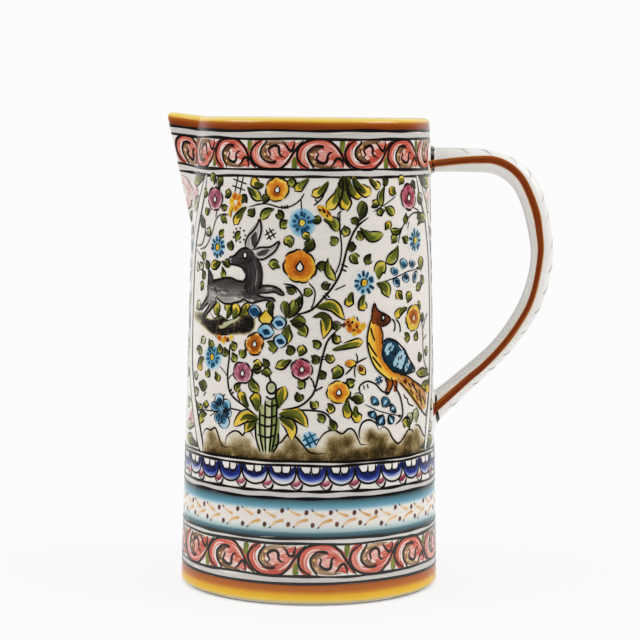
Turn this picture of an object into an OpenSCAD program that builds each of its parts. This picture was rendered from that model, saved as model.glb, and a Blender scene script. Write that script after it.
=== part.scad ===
// Glazed earthenware jug: a tapered wall on a floor slab, with a beak-shaped pouring lip
// and a strap handle luted on opposite sides. Millimetres, +Z up, the origin is the middle
// of the underside. The lip points to -X and the handle to +X.

/* [Body] */
// Height of the rim above the table
body_h = 220; // [200:1:250]
// Outside diameter at the foot of the wall
foot_d = 122; // [114:1:132]
// Outside diameter at the rim
rim_d = 110; // [104:1:118]
// Thickness of the wall
wall_t = 5; // [4:0.5:6]

/* [Floor] */
// Thickness of the floor slab
floor_t = 7; // [6:0.5:9]
// How far the slab stands out below the wall
foot_lift = 1.2; // [0.6:0.1:2]
// Leg of the clay coil pressed into the corner of wall and floor
floor_coil = 5; // [3:0.5:7]

/* [Pouring lip] */
// How far the lip stands out from the wall at the rim
lip_reach = 13; // [9:0.5:16]
// Width of the lip where it meets the wall, at the rim
lip_w = 31; // [26:1:40]
// Height of the lip down the wall
lip_drop = 50; // [40:1:60]
// How far the tip stands above the rim
lip_rise = 2; // [0:0.5:4]
// Thickness of the lip's two leaves
lip_t = 4.5; // [4:0.5:5]
// Radius of the slip coil in the crease between lip and wall
lip_coil_r = 1.4; // [1:0.1:2]

/* [Handle] */
// Drop from the rim to the middle of the upper arm
arm_drop = 19.3; // [17:0.1:26]
// Distance from the jug's axis to the end of the straight upper arm
arm_end = 81.2; // [78:0.2:86]
// Thickness of the strap, across its brown edge
strap_t = 11; // [9:0.5:12]
// Width of the strap, across its back
strap_w = 20; // [17:0.5:24]
// Radius of the strap's corners
strap_corner = 4.4; // [3:0.1:4.4]
// Radius of the bend at the end of the upper arm
top_bend_r = 24.5; // [22:0.5:28]
// Turn of the bend at the end of the upper arm, in degrees
top_turn = 62; // [58:1:66]
// Radius of the bend round the back of the handle
back_bend_r = 54.5; // [50:0.5:60]
// Turn of the bend round the back of the handle, in degrees
back_turn = 36; // [32:1:40]
// Radius of the slow bend towards the tail
low_bend_r = 82; // [76:1:88]
// Turn of the slow bend towards the tail, in degrees
low_turn = 39; // [35:1:43]
// How far the slip coils at the handle's ends spread over the wall
slip_spread = 3; // [2:0.5:4]
// How far the slip coils reach along the strap
slip_reach = 5; // [4:0.5:7]

/* [Hidden] */
$fn = 96;
// Steps round a trimming cut along the wall, and round a leaf's rounded edge
trim_steps = 360;
edge_steps = 32;
// Steps in each corner of the strap's section, and along each of its bends
corner_steps = 5;
bend_steps = 10;
// Length by which the strap's ends start inside the wall, and thickness of a slice across it
overlap = 12;
slice = 0.4;

clay = "#f4efe6";
slip = "#efe8dc";
foot_r = foot_d / 2;
rim_r = rim_d / 2;
lean = (foot_r - rim_r) / body_h;
leaf_r = lip_t / 2;
arm_z = body_h - arm_drop;
bend_r = [top_bend_r, back_bend_r, low_bend_r];
bend_turn = [top_turn, back_turn, low_turn];
bends = len(bend_r);

// Outside and inside radius of the wall at a height
function outer_r(z) = foot_r - lean * z;
function inner_r(z) = outer_r(z) - wall_t;

// Point at a depth below the wall's outside face, turned by an angle from the lip's direction
function in_wall(angle, z, depth) =
    [-(outer_r(z) - depth) * cos(angle), (outer_r(z) - depth) * sin(angle), z];

// Heading of the strap, in degrees, after the first n bends: it turns down and back
function heading(n) = n == 0 ? 0 : heading(n - 1) - bend_turn[n - 1];

// Middle of the strap, [x, z], after the first n bends
function bend_start(n) = n == 0 ? [arm_end, arm_z]
    : bend_centre(n - 1) + bend_r[n - 1] * [-sin(heading(n)), cos(heading(n))];
function bend_centre(n) = bend_start(n) + bend_r[n] * [sin(heading(n)), -cos(heading(n))];

// The tail runs straight from the last bend until its middle line meets the leaning wall
tail_start = bend_start(bends);
tail_heading = heading(bends);
tail_run = (outer_r(tail_start[1]) - tail_start[0]) / (cos(tail_heading) + lean * sin(tail_heading));
tail_end = tail_start + tail_run * [cos(tail_heading), sin(tail_heading)];

// Corners of the lip's leaves: tip, crease at the rim and foot of the ridge
lip_angle = asin(lip_w / 2 / rim_r);
lip_tip = [-(rim_r + lip_reach - leaf_r), 0, body_h + lip_rise - leaf_r];
lip_foot = in_wall(0, body_h - lip_drop, leaf_r);
// Angle that half a leaf's thickness takes up on the wall, as seen from the jug's axis
leaf_angle = asin(leaf_r / rim_r);

module wall_profile() {
    rim_z = body_h - wall_t / 2;
    bevel = 1;
    polygon([
        [inner_r(foot_lift), foot_lift],
        [outer_r(foot_lift) - bevel, foot_lift],
        [outer_r(foot_lift + bevel), foot_lift + bevel],
        [outer_r(rim_z), rim_z],
        [inner_r(rim_z), rim_z]
    ]);
    translate([outer_r(rim_z) - wall_t / 2, rim_z]) circle(wall_t / 2);
}

// Everything inside the outside face of the wall
module wall_envelope() {
    under = 30;
    over = 60;
    translate([0, 0, -under])
        cylinder(h = body_h + under + over, r1 = outer_r(-under), r2 = outer_r(body_h + over),
            $fn = trim_steps);
}

// Three-cornered way from the jug's inside into the lip
module lip_opening() {
    half_w = lip_w / 2 - lip_t;
    foot_z = body_h - lip_drop + 2 * lip_t;
    slope = half_w / (body_h - foot_z);
    above = 10;
    translate([-rim_r - wall_t, 0, 0]) rotate([90, 0, 90]) linear_extrude(3 * wall_t)
        polygon([
            [0, foot_z],
            [half_w + slope * above, body_h + above],
            [-half_w - slope * above, body_h + above]
        ]);
}

module body_wall() {
    color(clay) difference() {
        rotate_extrude() wall_profile();
        lip_opening();
    }
}

module base_slab() {
    color(clay) cylinder(h = floor_t, r1 = inner_r(0), r2 = inner_r(floor_t));
}

module floor_seam_coil() {
    corner_r = inner_r(floor_t);
    top_z = floor_t + floor_coil;
    edge = 1;
    color(slip) rotate_extrude() difference() {
        polygon([
            [corner_r - floor_coil, floor_t],
            [corner_r, floor_t],
            [inner_r(top_z), top_z]
        ]);
        translate([corner_r - floor_coil, top_z]) circle(floor_coil - edge);
    }
}

// One leaf of the lip, a plate with round edges. side is 1 or -1
module lip_leaf(side) {
    hull() for (p = [lip_tip, in_wall(side * lip_angle, body_h - leaf_r, leaf_r), lip_foot])
        translate(p) sphere(leaf_r, $fn = edge_steps);
}

module pouring_lip() {
    color(clay) difference() {
        union() {
            lip_leaf(1);
            lip_leaf(-1);
        }
        wall_envelope();
    }
}

// Round rod between two points
module rod(from, to, r) {
    run = to - from;
    translate(from) rotate([0, acos(run[2] / norm(run)), atan2(run[1], run[0])])
        cylinder(h = norm(run), r = r);
}

module lip_seam_coil() {
    color(slip) difference() {
        for (side = [1, -1])
            rod(in_wall(side * (lip_angle + leaf_angle), body_h - wall_t, 0),
                in_wall(side * leaf_angle, body_h - lip_drop, 0), lip_coil_r);
        wall_envelope();
        lip_leaf(1);
        lip_leaf(-1);
    }
}

// Outline of the strap's section: x across its thickness, y across its width
function strap_outline(grow = 0) =
    let (r = strap_corner + grow, mid_x = strap_t / 2 + grow - r, mid_y = strap_w / 2 + grow - r)
    [for (quarter = [0 : 3], step = [0 : corner_steps])
        let (side = 90 * quarter + 45, angle = 90 * (quarter + step / corner_steps))
        [sign(cos(side)) * mid_x + r * cos(angle), sign(sin(side)) * mid_y + r * sin(angle)]];

// Section of the strap standing across its path at a point [x, z]
function strap_ring(at, angle) =
    [for (p = strap_outline()) [at[0] - p[0] * sin(angle), p[1], at[1] + p[0] * cos(angle)]];

// Path of the strap from inside the wall, round the bends and back into the wall
strap_path = [
    [[rim_r - overlap, arm_z], 0],
    for (n = [0 : bends - 1], step = [0 : bend_steps - 1])
        let (angle = heading(n) - bend_turn[n] * step / bend_steps)
        [bend_centre(n) + bend_r[n] * [-sin(angle), cos(angle)], angle],
    [tail_start, tail_heading],
    [tail_end + overlap * [cos(tail_heading), sin(tail_heading)], tail_heading]
];

module strap() {
    sides = len(strap_outline());
    rings = len(strap_path);
    polyhedron(
        points = [for (p = strap_path) each strap_ring(p[0], p[1])],
        faces = [
            [for (s = [sides - 1 : -1 : 0]) s],
            for (r = [0 : rings - 2], s = [0 : sides - 1])
                let (low = r * sides, high = low + sides, next = (s + 1) % sides)
                each [[low + s, high + next, high + s], [low + s, low + next, high + next]],
            [for (s = [0 : sides - 1]) (rings - 1) * sides + s]
        ]);
}

module handle() {
    color(clay) difference() {
        strap();
        wall_envelope();
    }
}

// Flared coil round an end of the strap. at is the middle of the joint on the wall, [x, z],
// and angle the strap's heading there, pointing away from the wall
module slip_coil(at, angle) {
    along = [cos(angle), sin(angle)];
    color(slip) difference() {
        hull() {
            translate([at[0] - wall_t, 0, at[1]]) rotate([0, 90, 0]) linear_extrude(wall_t)
                scale([1 / cos(angle), 1]) polygon(strap_outline(slip_spread));
            translate([at[0], 0, at[1]] + slip_reach * [along[0], 0, along[1]])
                rotate([0, 90 - angle, 0]) linear_extrude(slice) polygon(strap_outline(slice));
        }
        strap();
        wall_envelope();
    }
}

module upper_handle_coil() {
    slip_coil([outer_r(arm_z), arm_z], 0);
}

module lower_handle_coil() {
    slip_coil(tail_end, tail_heading + 180);
}

body_wall();
base_slab();
floor_seam_coil();
pouring_lip();
lip_seam_coil();
handle();
upper_handle_coil();
lower_handle_coil();
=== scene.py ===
import bpy
import bmesh
from math import atan, ceil, cos, exp, hypot, pi, radians, sin, sqrt
from random import Random
from mathutils import Matrix, Vector


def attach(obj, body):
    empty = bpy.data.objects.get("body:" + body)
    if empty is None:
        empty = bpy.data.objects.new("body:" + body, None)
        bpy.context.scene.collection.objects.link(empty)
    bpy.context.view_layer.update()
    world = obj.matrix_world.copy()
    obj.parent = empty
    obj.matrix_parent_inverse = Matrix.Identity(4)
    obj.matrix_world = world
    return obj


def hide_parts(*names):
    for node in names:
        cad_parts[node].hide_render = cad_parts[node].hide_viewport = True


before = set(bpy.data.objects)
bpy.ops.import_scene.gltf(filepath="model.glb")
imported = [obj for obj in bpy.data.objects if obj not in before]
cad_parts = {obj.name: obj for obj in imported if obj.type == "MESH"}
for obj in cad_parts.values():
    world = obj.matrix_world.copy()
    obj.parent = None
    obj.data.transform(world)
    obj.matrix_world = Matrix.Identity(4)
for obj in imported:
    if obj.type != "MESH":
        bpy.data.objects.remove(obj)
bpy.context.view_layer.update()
mm = 0.001
print("frame loaded:", ", ".join(sorted(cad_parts)))

# The jug's own sizes in mm, the same as the solids'
jug = {
    "height": 220,
    "footR": 61,
    "rimR": 55,
    "wall": 5,
    "footLift": 1.2,
    "footBevel": 1,
    "mapR": 58,  # radius at which lengths round the painted wall are measured
    "lipReach": 13.4,
    "lipRise": 1.95,
    "lipFoot": 168,
    "lipSpread": 19,  # half angle between the creases at the rim, degrees
    "lipRidge": 1.6,  # degrees taken up by the rounded ridge
    "lipFlare": 1.35,  # over 1 the two sides of the lip are hollow
    "channelFoot": 176,
    "channelSpread": 15,
}
lipAround = -jug["mapR"] * pi / 2
handleAround = -lipAround
wholeRound = 2 * pi * jug["mapR"]


def wallRadius(height):
    return jug["footR"] - (jug["footR"] - jug["rimR"]) * height / jug["height"]


def lipPush(turn, height, depth):
    # How far the lip moves a point of the wall out and up, depth 0 outside and 1 inside
    foot = jug["lipFoot"] + (jug["channelFoot"] - jug["lipFoot"]) * depth
    climb = (height - foot) / (jug["height"] - foot)
    away = abs((turn + 1.5 * pi) % (2 * pi) - pi)
    spread = radians(jug["lipSpread"] + (jug["channelSpread"] - jug["lipSpread"]) * depth)
    if climb <= 0 or away > 2 * spread:
        return 0, 0
    ridge = radians(jug["lipRidge"])
    share = max(0, 1 - (sqrt(away ** 2 + ridge ** 2) - ridge) / (spread * climb))
    return jug["lipReach"] * climb * share ** jug["lipFlare"], jug["lipRise"] * climb * share


def onWall(around, height, lift):
    turn = around / jug["mapR"]
    out, up = lipPush(turn, height, 0)
    radius = wallRadius(height) + out + lift
    return Vector((radius * sin(turn), -radius * cos(turn), height + up)) * mm


# Objects, nodes and materials
def newObject(name, data):
    made = bpy.data.objects.new(name, data)
    bpy.context.scene.collection.objects.link(made)
    return made


def meshObject(name, bm):
    mesh = bpy.data.meshes.new(name)
    bm.to_mesh(mesh)
    bm.free()
    return newObject(name, mesh)


def newMaterial(name):
    material = bpy.data.materials.new(name)
    material.use_nodes = True
    return material, material.node_tree, material.node_tree.nodes["Principled BSDF"]


def put(tree, kind, inputs=None, **settings):
    made = tree.nodes.new(kind)
    for key, value in settings.items():
        setattr(made, key, value)
    for key, value in (inputs or {}).items():
        if isinstance(value, bpy.types.NodeSocket):
            tree.links.new(value, made.inputs[key])
        else:
            made.inputs[key].default_value = value
    return made


def maths(tree, operation, first, second=0, third=0):
    return put(tree, "ShaderNodeMath", {0: first, 1: second, 2: third}, operation=operation).outputs[0]


def colour(code):
    parts = [int(code[i:i + 2], 16) / 255 for i in (1, 3, 5)]
    return [p / 12.92 if p < 0.04045 else ((p + 0.055) / 1.055) ** 2.4 for p in parts] + [1]


def ramp(tree, fac, stops):
    made = put(tree, "ShaderNodeValToRGB", {"Fac": fac})
    elements = made.color_ramp.elements
    while len(elements) < len(stops):
        elements.new(0.5)
    for element, (position, code) in zip(elements, stops):
        element.position = position
        element.color = colour(code)
    return made.outputs["Color"]


def noise(tree, place, scale, detail):
    return put(tree, "ShaderNodeTexNoise", {"Vector": place, "Scale": scale, "Detail": detail}).outputs["Fac"]


def objectPlace(tree):
    return tree.nodes.new("ShaderNodeTexCoord").outputs["Object"]


def painted(tree, name):
    return put(tree, "ShaderNodeAttribute", attribute_name=name).outputs["Fac"]


def mixShader(tree, share, first, second):
    return put(tree, "ShaderNodeMixShader", {0: share, 1: first, 2: second}).outputs[0]


def mapRange(tree, value, span, low=0, high=1, kind="LINEAR"):
    return put(tree, "ShaderNodeMapRange", {
        "Value": value, "From Min": span[0], "From Max": span[1], "To Min": low, "To Max": high},
        interpolation_type=kind).outputs["Result"]


def newGroup(name, inputs, *outputs):
    tree = bpy.data.node_groups.new(name, "ShaderNodeTree")
    for label, value in inputs.items():
        made = tree.interface.new_socket(label, in_out="INPUT", socket_type="NodeSocketFloat")
        made.default_value = value
    for label in outputs:
        tree.interface.new_socket(label, in_out="OUTPUT", socket_type="NodeSocketFloat")
    return tree, tree.nodes.new("NodeGroupInput").outputs, tree.nodes.new("NodeGroupOutput").inputs


glaze = {
    "ior": 1.5, "dull": 0.1, "bump": 0.15, "relief": 0.0006,
    "ripple": 60, "smear": 0.1,  # scale of the ripple, and how much it dulls the gloss
    "grain": 900, "grainDepth": 0.08,
    "hairs": (14, 14, 900), "streak": 0.16,  # brush hairs in the wet glaze
}


def glazeSkin():
    # The slow ripple and the faint dullness of a fired glaze
    tree, given, result = newGroup(
        "glazeSkin", {"Ripple": glaze["ripple"], "Dull": glaze["dull"]}, "Roughness", "Height")
    place = objectPlace(tree)
    slow = noise(tree, place, given["Ripple"], 1)
    fine = noise(tree, place, glaze["grain"], 2)
    smear = maths(tree, "MULTIPLY", slow, glaze["smear"])
    tree.links.new(maths(tree, "ADD", given["Dull"], smear), result["Roughness"])
    grain = maths(tree, "MULTIPLY", fine, glaze["grainDepth"])
    tree.links.new(maths(tree, "ADD", slow, grain), result["Height"])
    return tree


brushHairs = {
    "spread": (2, 7, 60), "scale": 1.3,  # hairs along, across and from stroke to stroke
    "grain": 2, "pool": 3, "lean": 0.5,
}


def brushWash():
    # How far a brush stroke has thinned out: 0 full of paint, 1 watery
    tree, given, result = newGroup(
        "brushWash", {"Fade": 0.6, "Slant": 0, "Pool": 0.3, "Streak": 0.6, "Bias": 0.2}, "Amount")
    uv = put(tree, "ShaderNodeUVMap", uv_map="brush")
    parts = put(tree, "ShaderNodeSeparateXYZ", {0: uv.outputs[0]})
    along, across = parts.outputs["X"], parts.outputs["Y"]
    tone = painted(tree, "tone")
    hairs = put(tree, "ShaderNodeCombineXYZ", {
        axis: maths(tree, "MULTIPLY", value, spread)
        for axis, value, spread in zip("XYZ", (along, across, tone), brushHairs["spread"])})
    streaks = noise(tree, hairs.outputs[0], brushHairs["scale"], 3)
    grainy = maths(tree, "MULTIPLY", maths(tree, "SUBTRACT", streaks, 0.5), given["Streak"])
    aside = maths(tree, "ABSOLUTE", maths(tree, "MULTIPLY_ADD", across, 2, -1))
    edge = maths(tree, "MULTIPLY", maths(tree, "POWER", aside, brushHairs["pool"]), given["Pool"])
    slanted = maths(tree, "MULTIPLY", maths(tree, "SUBTRACT", across, 0.5), given["Slant"])
    faded = maths(tree, "ADD", maths(tree, "MULTIPLY", along, given["Fade"]), slanted)
    streaky = maths(tree, "ADD", faded, maths(tree, "MULTIPLY", grainy, brushHairs["grain"]))
    total = maths(tree, "SUBTRACT", streaky, edge)
    ownTone = maths(tree, "MULTIPLY", maths(tree, "SUBTRACT", tone, 0.5), brushHairs["lean"])
    lean = maths(tree, "ADD", given["Bias"], ownTone)
    amount = put(tree, "ShaderNodeMath", {0: total, 1: lean}, operation="ADD", use_clamp=True)
    tree.links.new(amount.outputs[0], result["Amount"])
    return tree


def glazeHairs():
    # Faint level streaks that a wide brush leaves in the wet glaze
    tree, given, result = newGroup("glazeHairs", {"Streak": glaze["streak"]}, "Shade")
    squeezed = put(tree, "ShaderNodeMapping", {"Vector": objectPlace(tree), "Scale": glaze["hairs"]})
    hairs = noise(tree, squeezed.outputs[0], 1, 3)
    swing = maths(tree, "MULTIPLY", maths(tree, "SUBTRACT", 0.5, hairs), given["Streak"])
    tree.links.new(maths(tree, "ADD", swing, 1), result["Shade"])
    return tree


skinGroup = glazeSkin()
washGroup = brushWash()
hairsGroup = glazeHairs()


def streaked(tree, tint):
    hairs = put(tree, "ShaderNodeGroup", node_tree=hairsGroup)
    return put(tree, "ShaderNodeVectorMath", {0: tint, "Scale": hairs.outputs["Shade"]},
               operation="SCALE").outputs[0]


def glazed(name, bump=glaze["bump"]):
    # A glossy fired surface without its colour
    material, tree, shader = newMaterial(name)
    shader.inputs["IOR"].default_value = glaze["ior"]
    skin = put(tree, "ShaderNodeGroup", node_tree=skinGroup)
    tree.links.new(skin.outputs["Roughness"], shader.inputs["Roughness"])
    relief = put(tree, "ShaderNodeBump", {
        "Height": skin.outputs["Height"], "Strength": bump, "Distance": glaze["relief"]})
    tree.links.new(relief.outputs["Normal"], shader.inputs["Normal"])
    return material, tree, shader


ground = "#e7e1d9"

wallWash = {
    "lowSpan": 52, "topFrom": 214, "topSpan": 12,  # mm of the wall that the two washes cover
    "parted": 120,  # height where the lower wash gives way to the upper one
    "low": [
        (1.2, "#e2d6b4"), (2.2, "#e0c46a"), (3.2, "#ebbd24"), (5, "#e2ac18"), (6, "#cf8212"),
        (7, "#b66206"), (9.2, "#a45204"), (10, "#82400c"), (10.4, ground), (30.7, ground), (30.9, "#1c2a30"),
        (32, "#34525c"), (33.3, "#4f747c"), (34.3, "#a3bebf"), (36.2, "#d8dcd8"), (37.6, ground),
        (43.2, ground), (44, "#b4d0d8"), (44.9, "#78a6b8"), (46, "#5b90a2"), (47.2, "#4f7a84"),
        (48.4, "#3a5158"), (49.2, "#16201f"), (49.4, ground)],
    # over the rim's top the yellow pales to cream: a painted highlight, before the band ends in the white
    # glaze inside
    "top": [
        (213.5, ground), (213.7, "#6c2804"), (216.4, "#8c3c06"), (217.8, "#ae5e12"), (218.5, "#deb046"),
        (219.4, "#efcf62"), (221.4, "#f0dc8c"), (223, "#ece3c4"), (224.4, ground)],
    "wobble": 0.5, "slow": 45, "ragged": 700, "raggedShare": 0.5,  # mm of wander, and its two noises
}


def wallGlaze():
    material, tree, shader = glazed("paintedGlaze")
    place = objectPlace(tree)
    height = painted(tree, "paintHeight")
    slow = noise(tree, place, wallWash["slow"], 2)
    ragged = noise(tree, place, wallWash["ragged"], 2)
    drift = maths(tree, "MULTIPLY_ADD", ragged, wallWash["raggedShare"], slow)
    wander = maths(tree, "SUBTRACT", drift, 0.5 + 0.5 * wallWash["raggedShare"])
    shifted = maths(tree, "MULTIPLY_ADD", wander, wallWash["wobble"], height)
    low, start, top = wallWash["lowSpan"], wallWash["topFrom"], wallWash["topSpan"]
    foot = ramp(tree, maths(tree, "DIVIDE", shifted, low),
                [(z / low, code) for z, code in wallWash["low"]])
    aboveStart = maths(tree, "SUBTRACT", shifted, start)
    rim = ramp(tree, maths(tree, "DIVIDE", aboveStart, top),
               [((z - start) / top, code) for z, code in wallWash["top"]])
    upper = maths(tree, "GREATER_THAN", height, wallWash["parted"])
    bands = put(tree, "ShaderNodeMix", {"Factor": upper, "A": foot, "B": rim}, data_type="RGBA")
    tree.links.new(streaked(tree, bands.outputs["Result"]), shader.inputs["Base Color"])
    return material


plainCoat = {"bump": 0.08, "cloud": 40, "tints": [(0.3, "#efece7"), (0.7, "#f7f5f1")]}


def plainGlaze():
    material, tree, shader = glazed("plainGlaze", plainCoat["bump"])
    cloud = noise(tree, objectPlace(tree), plainCoat["cloud"], 3)
    tree.links.new(ramp(tree, cloud, plainCoat["tints"]), shader.inputs["Base Color"])
    return material


clayFoot = {
    "bump": 0.2, "grain": 350, "clay": [(0.35, "#b99a78"), (0.5, "#cdb394"), (0.7, "#dcc7ab")],
    "glazedFrom": 6.9,  # mm, just under the floor inside
    "dry": 0.85, "smoothed": 0.7,  # roughness of the clay, and what the glaze takes off it
}


def bareFoot():
    # Bare clay on the underside, white glaze on the floor inside
    material, tree, shader = glazed("bareFoot", clayFoot["bump"])
    place = objectPlace(tree)
    parts = put(tree, "ShaderNodeSeparateXYZ", {0: place})
    inside = maths(tree, "GREATER_THAN", parts.outputs["Z"], clayFoot["glazedFrom"] * mm)
    clay = ramp(tree, noise(tree, place, clayFoot["grain"], 5), clayFoot["clay"])
    coat = put(tree, "ShaderNodeMix", {"Factor": inside, "A": clay, "B": colour(ground)}, data_type="RGBA")
    tree.links.new(coat.outputs["Result"], shader.inputs["Base Color"])
    smoothed = maths(tree, "MULTIPLY", inside, clayFoot["smoothed"])
    tree.links.new(maths(tree, "SUBTRACT", clayFoot["dry"], smoothed), shader.inputs["Roughness"])
    return material


def addPiece(name, bm, materials, body="root"):
    for face in bm.faces:
        face.smooth = True
    piece = meshObject(name, bm)
    for material in materials:
        piece.data.materials.append(material)
    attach(piece, body)
    return piece


# The glazed wall, turned in two sweeps so that the lip has finer columns
turning = {
    "wideRow": 8, "lipRow": 3, "rimSteps": 12,
    "lipSweep": 42, "lipColumns": 84, "restColumns": 212,  # degrees and columns
    "lipMargin": 10,  # mm under the lip where the closer rows begin
    "sharp": 40, "weld": 0.01,
}


def glazedWall():
    half = jug["wall"] / 2
    rimZ = jug["height"] - half
    heights = [jug["footLift"] + jug["footBevel"]]
    while heights[-1] < rimZ - turning["lipRow"]:
        underLip = heights[-1] < jug["lipFoot"] - turning["lipMargin"]
        heights.append(heights[-1] + turning["wideRow" if underLip else "lipRow"])
    heights.append(rimZ)
    profile = [(wallRadius(jug["footLift"]) - jug["footBevel"], jug["footLift"], jug["footLift"])]
    profile += [(wallRadius(z), z, z) for z in heights]
    for step in range(1, turning["rimSteps"]):
        angle = pi * step / turning["rimSteps"]
        radius = wallRadius(rimZ) - half + half * cos(angle)
        profile.append((radius, rimZ + half * sin(angle), rimZ + half * angle))
    inside = wallWash["topFrom"] + wallWash["topSpan"]
    profile += [(wallRadius(z) - jug["wall"], z, inside) for z in reversed(heights)]
    profile.append((wallRadius(jug["footLift"]) - jug["wall"], jug["footLift"], inside))

    bm = bmesh.new()
    paintHeight = bm.verts.layers.float.new("paintHeight")
    sweep = radians(turning["lipSweep"])
    start = -pi / 2 - sweep / 2
    verts = []
    for radius, z, colourZ in profile:
        verts.append(bm.verts.new(Vector((radius * sin(start), -radius * cos(start), z)) * mm))
        verts[-1][paintHeight] = colourZ
    edges = [bm.edges.new(pair) for pair in zip(verts, verts[1:] + verts[:1])]
    turned = bmesh.ops.spin(bm, geom=verts + edges, cent=(0, 0, 0), axis=(0, 0, 1),
                            angle=sweep, steps=turning["lipColumns"])
    bmesh.ops.spin(bm, geom=turned["geom_last"], cent=(0, 0, 0), axis=(0, 0, 1),
                   angle=2 * pi - sweep, steps=turning["restColumns"])
    bmesh.ops.remove_doubles(bm, verts=bm.verts, dist=turning["weld"] * mm)
    bmesh.ops.recalc_face_normals(bm, faces=bm.faces)
    for vert in bm.verts:
        x, y, z = vert.co / mm
        radius = hypot(x, y)
        depth = min(1, max(0, (wallRadius(z) - radius) / jug["wall"]))
        turn = -Vector((0, -1)).angle_signed(Vector((x, y)))
        out, up = lipPush(turn, z, depth)
        vert.co = Vector((x * (radius + out) / radius, y * (radius + out) / radius, z + up)) * mm
    for edge in bm.edges:
        edge.smooth = edge.calc_face_angle(0) < radians(turning["sharp"])
    wall = addPiece("glazedWall", bm, [wallGlaze()])
    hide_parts("body_wall", "pouring_lip", "lip_seam_coil")
    print("wall turned:", len(wall.data.polygons), "faces")


def through(points, share):
    # Smooth line through the points, and its heading
    index = min(int(share * (len(points) - 1)), len(points) - 2)
    f = share * (len(points) - 1) - index
    b, c = points[index], points[index + 1]
    a = points[index - 1] if index else 2 * b - c
    d = points[index + 2] if index + 2 < len(points) else 2 * c - b
    first, second, third = c - a, 2 * a - 5 * b + 4 * c - d, 3 * (b - c) + d - a
    spot = b + 0.5 * f * (first + f * (second + f * third))
    return spot, (first + f * (2 * second + 3 * f * third)).normalized()


# The handle is a strap bent along an arm, three bends and a straight tail
strap = {
    "armDrop": 19.3, "armEnd": 81.2,
    "bends": [(24.5, 62), (54.5, 36), (82, 39)],  # radius in mm and turn in degrees
    "thick": 11, "wide": 20, "corner": 4.4,
    # mm pared off the back and the inner face, at even steps along the strap
    "pared": [(0, 0), (0.2, 0), (1.2, -0.6), (1.3, -0.9), (1.6, -0.8), (0.4, 1.3), (-0.2, 2.1), (0.6, 2.1),
              (0.9, 2.1), (0.6, 1.4), (0, 0.4)],
    "fillet": 3.4, "settle": 15,  # mm along the strap over which an end takes the wall's shape
    "sink": 1.5,
    "rings": 150, "sides": 44, "weld": 0.01,
    "fits": 4,  # rounds in which an end finds the wall
}


def strapRoute():
    # Stretches of the strap: length, start, heading there, and turn per mm
    armZ = jug["height"] - strap["armDrop"]
    start = Vector((wallRadius(armZ), armZ))
    stretches = [(strap["armEnd"] - start.x, start, 0, 0)]
    at, heading = Vector((strap["armEnd"], armZ)), 0
    for radius, turn in strap["bends"]:
        stretches.append((radius * radians(turn), at, heading, -1 / radius))
        centre = at + radius * Vector((sin(heading), -cos(heading)))
        heading -= radians(turn)
        at = centre + radius * Vector((-sin(heading), cos(heading)))
    lean = (jug["footR"] - jug["rimR"]) / jug["height"]
    run = (wallRadius(at.y) - at.x) / (cos(heading) + lean * sin(heading))
    stretches.append((run, at, heading, 0))
    return stretches


route = strapRoute()
strapLength = sum(stretch[0] for stretch in route)


def strapSpot(distance):
    for length, at, heading, bend in route:
        if distance <= length or (length, at, heading, bend) == route[-1]:
            break
        distance -= length
    turned = heading + bend * distance
    if bend == 0:
        return at + distance * Vector((cos(heading), sin(heading))), heading
    return at + Vector((sin(turned) - sin(heading), cos(heading) - cos(turned))) / bend, turned


def strapPoint(distance, across, sideways):
    # across is up from the middle line towards the handle's back, sideways is along Y
    spot, heading = strapSpot(distance)
    forward = Vector((cos(heading), sin(heading)))
    fromEnd = min(distance, strapLength - distance)
    gap = max(0, strap["fillet"] - max(0, fromEnd))
    flare = strap["fillet"] - sqrt(max(0, strap["fillet"] ** 2 - gap ** 2))
    back, inner = through([Vector(p) for p in strap["pared"]], min(1, max(0, distance / strapLength)))[0]
    across += inner * (0.5 - across / strap["thick"]) - back * (0.5 + across / strap["thick"])
    across *= 1 + flare * 2 / strap["thick"]
    sideways *= 1 + flare * 2 / strap["wide"]
    flat = spot + across * Vector((-forward.y, forward.x))
    away = 1 if distance > strapLength / 2 else -1
    settled = max(0, 1 - max(0, fromEnd) / strap["settle"])
    end = flat + forward * away * fromEnd
    shift = 0
    for fitting in range(strap["fits"]):
        trial = end + forward * shift
        wallX = sqrt(max(0, wallRadius(trial.y) ** 2 - sideways ** 2))
        shift += (wallX - trial.x) / forward.x
    flat += forward * shift * settled
    return Vector((flat.x, sideways, flat.y)) * mm


def strapSection(share):
    # Point on the strap's rounded outline, share from 0 to 1 round it
    corner = strap["corner"]
    tall, wide = strap["thick"] / 2 - corner, strap["wide"] / 2 - corner
    quarter = corner * pi / 2
    rest = share * 4 * (tall + wide + quarter)
    for side, (up, out) in enumerate(((tall, wide), (-tall, wide), (-tall, -wide), (tall, -wide))):
        straight = 2 * (tall if side % 2 else wide)
        if rest <= straight + quarter:
            break
        rest -= straight + quarter
    angle = side * pi / 2
    before, bent = min(0, rest - straight), angle + max(0, rest - straight) / corner
    return up + corner * cos(bent) - before * sin(angle), out + corner * sin(bent) + before * cos(angle)


def strapHandle():
    bm = bmesh.new()
    bmesh.ops.create_grid(bm, x_segments=strap["sides"], y_segments=strap["rings"], size=0.5)
    for vert in bm.verts:
        across, sideways = strapSection((vert.co.x + 0.5) % 1)
        distance = -strap["sink"] + (strapLength + 2 * strap["sink"]) * (vert.co.y + 0.5)
        vert.co = strapPoint(distance, across, sideways)
    bmesh.ops.remove_doubles(bm, verts=bm.verts, dist=strap["weld"] * mm)
    bmesh.ops.holes_fill(bm, edges=[e for e in bm.edges if e.is_boundary])
    bmesh.ops.recalc_face_normals(bm, faces=bm.faces)
    handle = addPiece("strapHandle", bm, [plainGlaze()])
    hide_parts("handle", "upper_handle_coil", "lower_handle_coil")
    print("handle bent:", round(strapLength), "mm of strap")


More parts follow.
